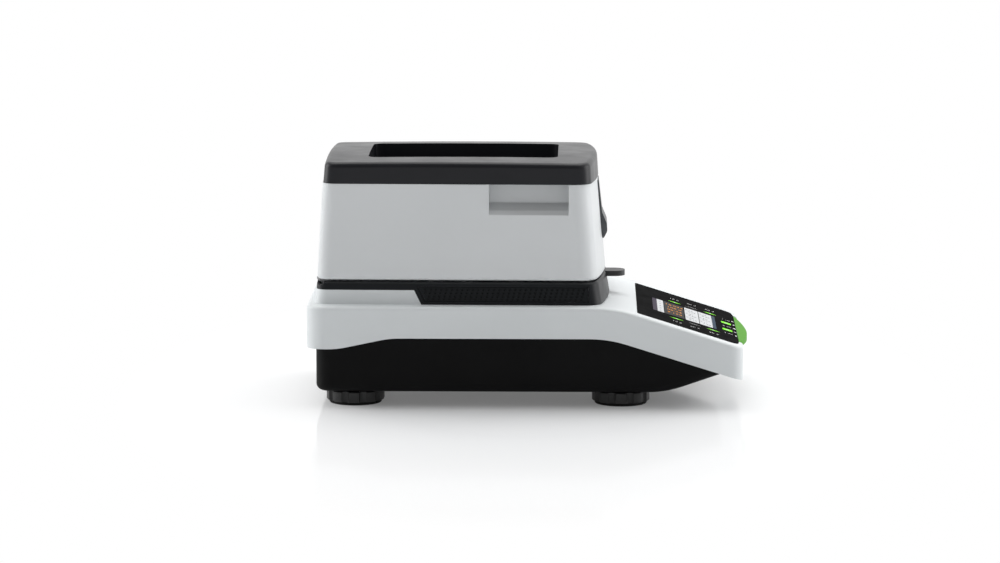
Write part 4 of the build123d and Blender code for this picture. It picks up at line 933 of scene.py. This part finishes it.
def rounded_rectangle(length: float, width: float, radius: float, steps: int = 5) -> list[Point]:
    """Outline of a rectangle with round corners about the origin.

    Args:
        length: Size along the first axis.
        width: Size along the second axis.
        radius: Corner radius.
        steps: Segments of each corner.

    Returns:
        The corners in order.
    """
    points = []
    for quarter, (sign_x, sign_y) in enumerate(((1, 1), (-1, 1), (-1, -1), (1, -1))):
        centre_x = sign_x * (length / 2 - radius)
        centre_y = sign_y * (width / 2 - radius)
        for step in range(steps + 1):
            turn = math.pi / 2 * (quarter + step / steps)
            points.append((centre_x + radius * math.cos(turn), centre_y + radius * math.sin(turn)))
    return points


@dataclass(frozen=True)
class Softbox:
    """Rectangular lamp."""

    name: str
    place: Place
    size: Point
    power: float  # watts


@dataclass
class Studio:
    """Pale floor, soft lights, the surroundings and the camera."""

    target: Place = (-0.026, 0.0, 0.095)
    azimuth: float = math.radians(1.275)
    elevation: float = math.radians(8.33)
    distance: float = 3.5
    lens: float = 144.0  # millimetres, as is the sensor's width
    sensor: float = 36.0
    clip: Point = (0.05, 200.0)
    softboxes: tuple[Softbox, ...] = (
        Softbox("top_softbox", (0.0, 0.35, 1.6), (1.8, 1.2), 14.0),
        Softbox("left_softbox", (-1.6, 0.25, 0.5), (0.9, 1.2), 9.0),
        Softbox("right_softbox", (1.6, 0.25, 0.5), (0.9, 1.2), 9.0),
    )
    lamp_target: Place = (0.0, 0.0, 0.1)
    room_band: Point = (-0.55, 0.35)  # Y of a direction, from the dim side to the white one
    dim_room: float = 0.33
    floor_half: float = 30.0
    floor_colour: Colour = (0.95, 0.96, 0.97)
    floor_gloss: Point = (0.10, 0.10)  # roughness and specular level
    fade_stretch: Place = (1.0, 0.6, 0.0)
    fade_band: Point = (0.14, 0.36)  # stretched distance, from the object's floor to pure white
    least_fade: float = 0.14

    def camera(self) -> None:
        """Create the camera at the photograph's angle."""
        data = bpy.data.cameras.new("camera")
        data.lens = self.lens
        data.sensor_width = self.sensor
        data.clip_start, data.clip_end = self.clip
        level = math.cos(self.elevation)
        back = Vector((math.sin(self.azimuth) * level, -math.cos(self.azimuth) * level,
                       math.sin(self.elevation)))
        camera = add_object("camera", data)
        target = Vector(self.target)
        aim(camera, target + back * self.distance, target)
        bpy.context.scene.camera = camera

    def lights(self) -> None:
        """Add the softboxes."""
        for softbox in self.softboxes:
            data = bpy.data.lights.new(softbox.name, "AREA")
            data.shape = "RECTANGLE"
            data.size, data.size_y = softbox.size
            data.energy = softbox.power
            lamp = add_object(softbox.name, data)
            aim(lamp, Vector(softbox.place), Vector(self.lamp_target))

    def surroundings(self) -> None:
        """Light the scene from a white room that is dimmer on the camera's side."""
        world = bpy.data.worlds.new("studio")
        bpy.context.scene.world = world
        graph = empty_graph(world)
        direction = graph.add("TexCoord").outputs["Generated"]
        room = graph.remap(graph.axis(direction, "Y"), *self.room_band, self.dim_room)
        strength = graph.mix(graph.rays("Camera", "Transmission"), room, 1.0, Mixed.NUMBER)
        light = graph.fill(graph.add("Background"), Color=grey(1.0), Strength=strength)
        graph.fill(graph.add("OutputWorld"), Surface=light.outputs[0])

    def floor_material(self) -> bpy.types.Material:
        """Glossy white that fades to pure white away from the object."""
        made = bpy.data.materials.new("studio_floor")
        graph = empty_graph(made)
        roughness, specular = self.floor_gloss
        shader = graph.add("BsdfPrincipled")
        graph.fill(shader, Base_Color=self.floor_colour, Roughness=roughness,
                   Specular_IOR_Level=specular)
        glow = graph.fill(graph.add("Emission"), Color=grey(1.0))
        away = graph.vector("LENGTH", graph.vector("MULTIPLY", graph.place(), self.fade_stretch))
        fade = graph.remap(away, *self.fade_band, self.least_fade)
        share = graph.math("MULTIPLY", fade, graph.rays("Camera", "Glossy", "Transmission"))
        mixed = graph.fill(graph.add("MixShader"), share, shader.outputs[0], glow.outputs[0])
        graph.fill(graph.add("OutputMaterial"), Surface=mixed.outputs[0])
        return made

    def floor(self) -> None:
        """Lay the floor."""
        half = self.floor_half
        corners = ((-half, -half), (half, -half), (half, half), (-half, half))
        shape = bmesh.new()
        shape.faces.new([shape.verts.new((x, y, 0.0)) for x, y in corners])
        mesh = bpy.data.meshes.new("floor")
        shape.to_mesh(mesh)
        shape.free()
        mesh.materials.append(self.floor_material())
        add_object("floor", mesh)

    def build(self) -> None:
        """Set the studio up."""
        bpy.context.scene.view_settings.view_transform = "Standard"
        self.camera()
        self.lights()
        self.surroundings()
        self.floor()


@dataclass(frozen=True)
class Dressing:
    """Sub-assembly whose solids only need their finishes.

    Attributes:
        finishes: Names of the nodes that get each finish.
    """

    finishes: dict[Finish, tuple[str, ...]]

    def build(self) -> None:
        """Dress each solid."""
        for finish, names in self.finishes.items():
            dress(finish, *names)


OUTER_SHELLS = Dressing({
    WHITE_HOUSING: ("top_casing",),
    BLACK_TRAY: ("base_tray",),
    VENT_PLASTIC: ("vent_ring",),
    VENT_MESH: ("vent_grille_left", "vent_grille_right"),
    HOOD_HOUSING_PAINTED_SHADE: ("hood_shell",),
    CAP_PLASTIC: ("hood_cap",),
    WELL_PLASTIC: ("well_grille",),
    GRIP_PLASTIC: ("front_grip",),
})
HINGES = Dressing({
    HINGE_STEEL: ("hinge_brackets", "hinge_leaves"),
    HINGE_PIN_STEEL: ("hinge_pins",),
})
HEATING = Dressing({
    STEEL_SHEET: ("hood_base_plate", "glass_clamp"),
    ZINC_SCREWS: ("hood_plate_screws",),
    ZINC_SHEET: ("heat_cover",),
    GOLD_REFLECTOR: ("reflector",),
    QUARTZ: ("halogen_lamp",),
    CERAMIC: ("lamp_holders",),
    CLEAR_GLASS: ("protective_glass",),
    PROBE_STEEL: ("temperature_probe",),
})
WEIGHING = Dressing({
    PAN_ALUMINIUM: ("sample_pan",),
    PROBE_STEEL: ("pan_support",),
    HANDLER_PLASTIC: ("pan_handler",),
    CHAMBER_STEEL: ("chamber_floor", "draft_shield"),
    CAST_ALUMINIUM: ("load_cell_bracket", "load_cell"),
})
ELECTRONICS = Dressing({
    FRAME_PLASTIC: ("display_frame", "display_module"),
    CIRCUIT_BOARD: ("main_board", "power_supply"),
})
REAR_SOCKETS = Dressing({
    REAR_PLASTIC: ("rear_panel",),
    SOCKET_PLASTIC: ("power_inlet", "switch_frame", "fuse_drawer"),
    ROCKER_PLASTIC: ("switch_rocker",),
    NICKEL: ("inlet_pins", "serial_port", "usb_device_port", "usb_host_port"),
})
CORNERS = ("front_left", "front_right", "rear_left", "rear_right")
FEET = Dressing({
    FOOT_PLASTIC: tuple("foot_wheel_" + corner for corner in CORNERS),
    FOOT_RUBBER: tuple("foot_pad_" + corner for corner in CORNERS),
    BRASS: ("foot_inserts",),
    ZINC_SCREWS: ("casing_screws",),
})


@dataclass
class VentPlates:
    """Perforated plates in the vent ring's windows, with staggered rows of blind round holes."""

    rows: int = 4
    pitch: float = 4.5 * MM
    row_pitch: float = 2.87 * MM
    hole_radius: float = 1.1 * MM
    thickness: float = 1.3 * MM
    rim: float = 1.0 * MM
    hole_steps: int = 12
    facing: float = 0.8  # least share of Y in the normal of a solid's outer face
    edge_band: float = 0.1 * MM  # height within which a point lies on that face's edge

    def edges(self, name: str, side: int) -> tuple[list[Vector], list[Vector]]:
        """Lower and upper edge of a solid plate's outer face.

        Args:
            name: Name of the solid's node.
            side: 1 for the plate at +Y, -1 for the one at -Y.

        Returns:
            The points of the lower and of the upper edge, each from the rear to the front.
        """
        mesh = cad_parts[name].data
        outer = {index for face in mesh.polygons if face.normal.y * side > self.facing
                 for index in face.vertices}
        points = sorted((mesh.vertices[index].co.copy() for index in outer),
                        key=lambda point: point.x)
        low = min(point.z for point in points)
        high = max(point.z for point in points)
        foot = [point for point in points if point.z < low + self.edge_band]
        head = [point for point in points if point.z > high - self.edge_band]
        return foot, head

    def edge_y(self, edge: Sequence[Vector], x: float) -> float:
        """Y of an edge at X, or of its nearer end."""
        for first, second in zip(edge, edge[1:]):
            if first.x <= x <= second.x and second.x > first.x:
                return first.y + (second.y - first.y) * (x - first.x) / (second.x - first.x)
        return edge[0].y if x < edge[0].x else edge[-1].y

    def cell(self, shape: Shape, centre_x: float, centre_z: float, spot: Spot) -> None:
        """Add a rectangular cell with its hole, which a disc closes at the back.

        Args:
            shape: Mesh that it goes into.
            centre_x: X of the hole.
            centre_z: Z of the hole.
            spot: Gives the point of the plate at X, Z and a depth.
        """
        half_x, half_z = self.pitch / 2, self.row_pitch / 2
        corner = math.atan2(half_z, half_x)
        turns = [math.tau * step / self.hole_steps for step in range(self.hole_steps)]
        turns += [corner, math.pi - corner, math.pi + corner, math.tau - corner]
        loops = []
        for depth in (0.0, self.thickness):
            hole, rim = [], []
            for turn in sorted(turns):
                along, up = math.cos(turn), math.sin(turn)
                reach = min(half_x / max(abs(along), TINY), half_z / max(abs(up), TINY))
                for loop, radius in ((hole, self.hole_radius), (rim, reach)):
                    point = spot(centre_x + radius * along, centre_z + radius * up, depth)
                    loop.append(shape.verts.new(point))
            loops += [hole, rim]
        near_hole, near_rim, far_hole, far_rim = loops
        join_loops(shape, near_hole, near_rim)
        join_loops(shape, far_rim, far_hole)
        join_loops(shape, near_rim, far_rim)
        join_loops(shape, far_hole, near_hole)
        shape.faces.new(far_hole)

    def plate(self, name: str, side: int) -> None:
        """Build one plate over its solid, row by row; its side is 1 at +Y and -1 at -Y."""
        foot, head = self.edges(name, side)
        low, high = foot[0].z, head[0].z
        front = min(foot[-1].x, head[-1].x)

        def spot(x: float, z: float, depth: float) -> Vector:
            """Point of the plate at X, Z and a depth."""
            share = (z - low) / (high - low)
            y = self.edge_y(foot, x) * (1 - share) + self.edge_y(head, x) * share
            return Vector((x, y - side * depth, z))

        def rear(z: float) -> float:
            """X of the slanted rear end at a height."""
            return foot[0].x + (head[0].x - foot[0].x) * (z - low) / (high - low)

        def fill(*outline: Point) -> None:
            """Add a plain block over an outline in X and Z."""
            add_solid(shape, [spot(x, z, 0.0) for x, z in outline],
                      [spot(x, z, self.thickness) for x, z in outline])

        shape = bmesh.new()
        first_z = (low + high) / 2 - self.row_pitch * self.rows / 2
        last_z = first_z + self.row_pitch * self.rows
        for floor, roof in ((low, first_z), (last_z, high)):
            fill((rear(floor), floor), (front, floor), (front, roof), (rear(roof), roof))
        for row in range(self.rows):
            floor = first_z + row * self.row_pitch
            roof = floor + self.row_pitch
            start = rear(floor) + self.rim + (row % 2) * self.pitch / 2
            count = int((front - self.rim - start) / self.pitch)
            stop = start + count * self.pitch
            for number in range(count):
                self.cell(shape, start + (number + 0.5) * self.pitch, (floor + roof) / 2, spot)
            fill((rear(floor), floor), (start, floor), (start, roof), (rear(roof), roof))
            fill((stop, floor), (front, floor), (front, roof), (stop, roof))
        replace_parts(add_piece(name + "_round", shape, VENT_MESH), name)

    def build(self) -> None:
        """Build both plates."""
        self.plate("vent_grille_left", 1)
        self.plate("vent_grille_right", -1)


@dataclass
class PanelSheet:
    """Drawing surface of the sloped panel, in millimetres.

    The centre of a mark is how far it lies down the slope from the panel's upper edge, and how
    far from the middle towards +Y. Its layer is a height step over the glass, and its shape is
    the mesh that it goes into.
    """

    lift: float = 0.02
    thickness: float = 0.03
    layer_step: float = 1.4  # in thicknesses
    curve_steps: int = 2
    corner_steps: int = 3

    def axes(self, centre: Point, layer: int) -> Matrix:
        """Matrix from millimetres around a place to the object's frame.

        Args:
            centre: The place.
            layer: Its layer.

        Returns:
            The matrix, with its X down the slope and its Z out of the glass.
        """
        low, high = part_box("touch_panel")
        along = Vector((math.cos(PANEL_SLOPE), 0.0, -math.sin(PANEL_SLOPE)))
        across = Vector((0.0, 1.0, 0.0))
        out = along.cross(across)
        height = self.lift + layer * self.thickness * self.layer_step
        offset = along * centre[0] + across * centre[1] + out * height
        turn = Matrix((along, across, out)).transposed().to_4x4()
        origin = Vector((low.x, 0.0, high.z))
        return Matrix.Translation(origin + offset * MM) @ turn @ Matrix.Scale(MM, 4)

    def prism(self, shape: Shape, outline: Sequence[Point], centre: Point,
              layer: int = 0) -> None:
        """Add a flat mark with an outline about its centre."""
        axes = self.axes(centre, layer)
        add_solid(shape, [axes @ Vector((x, y, 0.0)) for x, y in outline],
                  [axes @ Vector((x, y, self.thickness)) for x, y in outline])

    def block(self, shape: Shape, centre: Point, size: Point, radius: float,
              layer: int = 0) -> None:
        """Add a flat block with a length, a width and a corner radius."""
        self.prism(shape, rounded_rectangle(*size, radius, self.corner_steps), centre, layer)

    def text(self, shape: Shape, words: str, centre: Point, height: float,
             layer: int = 0) -> None:
        """Add figures that read down the slope, with their middle at the centre."""
        curve = bpy.data.curves.new("figures", "FONT")
        curve.body = words
        curve.size = height
        curve.align_x = curve.align_y = "CENTER"
        curve.resolution_u = self.curve_steps
        curve.extrude = self.thickness / 2
        holder = bpy.data.objects.new("figures", curve)
        mesh = bpy.data.meshes.new_from_object(holder)
        raised = Matrix.Translation((0.0, 0.0, self.thickness / 2))
        mesh.transform(self.axes(centre, layer) @ raised)
        shape.from_mesh(mesh)
        bpy.data.objects.remove(holder)
        bpy.data.curves.remove(curve)
        bpy.data.meshes.remove(mesh)


@dataclass(frozen=True)
class Pane:
    """Pane of the display."""

    name: str
    start: float  # both down the slope
    end: float
    finish: Finish


@dataclass(frozen=True)
class FigureRow:
    """Figures in a row across the display."""

    words: tuple[str, ...]  # from +Y to -Y
    column: float  # down the slope
    first: float  # from the display's middle
    step: float
    height: float


@dataclass(frozen=True)
class Mark:
    """Mark on both sides of the display, with its figures."""

    column: float
    label: str
    # the glow of the green print is painted light
    wide_green: bool  # a wide green dash instead of a slim white one


PANES = (
    Pane("screen_upper_bar", 15.0, 19.0, SCREEN_PURPLE),
    Pane("screen_list_pane", 19.1, 25.0, SCREEN_WHITE),
    Pane("screen_value_pane", 25.6, 43.6, SCREEN_DARK),
    Pane("screen_left_pane", 44.6, 57.0, SCREEN_WHITE),
    Pane("screen_right_pane", 57.6, 69.4, SCREEN_WHITE),
    Pane("screen_lower_bar", 69.6, 72.6, SCREEN_BLUE),
)
VALUE_FIGURES = (FigureRow(("12.034", "105.0", "08:24", "3.172"), 34.8, 22.0, 14.0, 6.2),)
LIST_FIGURES = (
    FigureRow(("0.10", "7.51", "4.92"), 48.8, 24.0, 21.0, 4.2),
    FigureRow(("5.27", "2.68", "9.19"), 51.3, 16.0, 21.0, 4.2),
    FigureRow(("3.19", "0.60", "7.11"), 61.5, 24.0, 21.0, 4.2),
    FigureRow(("8.36", "5.77", "2.28"), 64.0, 16.0, 21.0, 4.2),
    FigureRow(("1", "2", "3", "4", "5"), 22.0, 26.0, 13.0, 3.6),
)
MARKS = (Mark(36.0, "10 2", True), Mark(52.0, "30 3", False), Mark(69.0, "50 4", True))


@dataclass
class ControlPanel:
    """Touch panel with a generic colour display, marks, touch keys and the status light.

    Places are those of its sheet, in millimetres.
    """

    sheet: PanelSheet
    middle: float = -4.0
    screen_half: float = 34.5
    pane_radius: float = 0.4
    mark_reach: float = 47.0
    dash_reach: float = 6.2  # half of its length
    dash_widths: Point = (2.1, 0.5)  # half of the green one's and of the white one's
    dash_shoulder: float = 0.6  # share of its width halfway to a tip
    tick: Point = (1.0, 3.0)
    tick_radius: float = 0.3
    label_reach: float = 64.0
    label_height: float = 5.0
    button_column: float = 83.0
    buttons: Point = (15.0, -23.0)
    button_size: Point = (9.0, 9.0)
    button_radius: float = 1.2
    dot_size: Point = (3.0, 2.0)
    dot_radius: float = 0.5
    button_labels: tuple[tuple[float, str], ...] = ((33.0, "1 10"), (-4.0, "2 20"), (-42.0, "3 30"))
    button_label_height: float = 4.4
    key_column: float = 90.0
    key_pitch: float = 20.0
    key_size: float = 1.3

    def piece(self, name: str, shape: Shape, finish: Finish) -> None:
        """Turn a shape into a piece of the display."""
        add_piece(name, shape, finish)

    def panes(self) -> None:
        """Build the panes from the upper bar to the lower one."""
        for pane in PANES:
            shape = bmesh.new()
            centre = ((pane.start + pane.end) / 2, self.middle)
            size = (pane.end - pane.start, 2 * self.screen_half)
            self.sheet.block(shape, centre, size, self.pane_radius)
            self.piece(pane.name, shape, pane.finish)

    def figures(self, name: str, rows: Iterable[FigureRow], finish: Finish) -> None:
        """Write rows of figures on the panes, as one piece.

        Args:
            name: Name of the piece.
            rows: The rows.
            finish: Their finish.
        """
        shape = bmesh.new()
        for row in rows:
            for number, words in enumerate(row.words):
                centre = (row.column, self.middle + row.first - row.step * number)
                self.sheet.text(shape, words, centre, row.height, 1)
        self.piece(name, shape, finish)

    def dash(self, shape: Shape, centre: Point, width: float) -> None:
        """Add a dash with pointed ends about a place, with half of its width."""
        reach, shoulder = self.dash_reach, width * self.dash_shoulder
        half = [(-reach, 0.0), (-reach / 2, -shoulder), (0.0, -width), (reach / 2, -shoulder)]
        self.sheet.prism(shape, half + [(-x, -y) for x, y in half], centre)

    def marks(self) -> None:
        """Add the dashes on both sides of the display, the buttons and their figures."""
        green, white = bmesh.new(), bmesh.new()
        wide, slim = self.dash_widths
        for mark in MARKS:
            for side in (1, -1):
                centre = (mark.column, self.middle + side * self.mark_reach)
                if mark.wide_green:
                    self.dash(green, centre, wide)
                    self.sheet.block(white, centre, self.tick, self.tick_radius, 1)
                else:
                    self.dash(white, centre, slim)
                centre = (mark.column, self.middle + side * self.label_reach)
                self.sheet.text(white, mark.label, centre, self.label_height)
        for across in self.buttons:
            centre = (self.button_column, across)
            self.sheet.block(green, centre, self.button_size, self.button_radius)
            self.sheet.block(white, centre, self.dot_size, self.dot_radius, 1)
        for across, words in self.button_labels:
            centre = (self.button_column, across)
            self.sheet.text(white, words, centre, self.button_label_height)
        self.piece("panel_green_marks", green, PRINT_GREEN)
        self.piece("panel_white_marks", white, PRINT_WHITE)

    def key_signs(self) -> list[list[Point]]:
        """Outlines of the key signs: triangle, diamond, upright block, disc and bar."""
        size = self.key_size
        return [
            [(-size, -size * 2), (size, 0.0), (-size, size * 2)],
            [(-size, 0.0), (0.0, -size * 2), (size, 0.0), (0.0, size * 2)],
            rounded_rectangle(size * 2, size * 3.4, 0.3),
            rounded_rectangle(size * 2.2, size * 2.2, size * 1.1),
            rounded_rectangle(size, size * 4.4, 0.4),
        ]

    def keys(self) -> None:
        """Add the row of touch keys next to the status light."""
        shape = bmesh.new()
        signs = self.key_signs()
        for number, outline in enumerate(signs):
            across = self.middle + (len(signs) // 2 - number) * self.key_pitch
            self.sheet.prism(shape, outline, (self.key_column, across))
        self.piece("panel_touch_keys", shape, PRINT_WHITE)

    def build(self) -> None:
        """Dress the glass and the light, and build what shows on the glass."""
        dress(PANEL_GLASS, "touch_panel")
        dress(STATUS_GREEN, "status_light")
        self.panes()
        self.figures("screen_value_figures", VALUE_FIGURES, FIGURES_AMBER)
        self.figures("screen_list_figures", LIST_FIGURES, FIGURES_GREY)
        self.marks()
        self.keys()


def main() -> None:
    """Build the sub-assemblies in order."""
    logging.basicConfig(level=logging.INFO, format="%(name)s %(message)s")
    for part in (Studio(), OUTER_SHELLS, HINGES, HEATING, WEIGHING, ELECTRONICS, REAR_SOCKETS,
                 FEET, VentPlates(), ControlPanel(PanelSheet())):
        LOG.info("building %s", type(part).__name__)
        part.build()


if __name__ == "__main__":
    main()
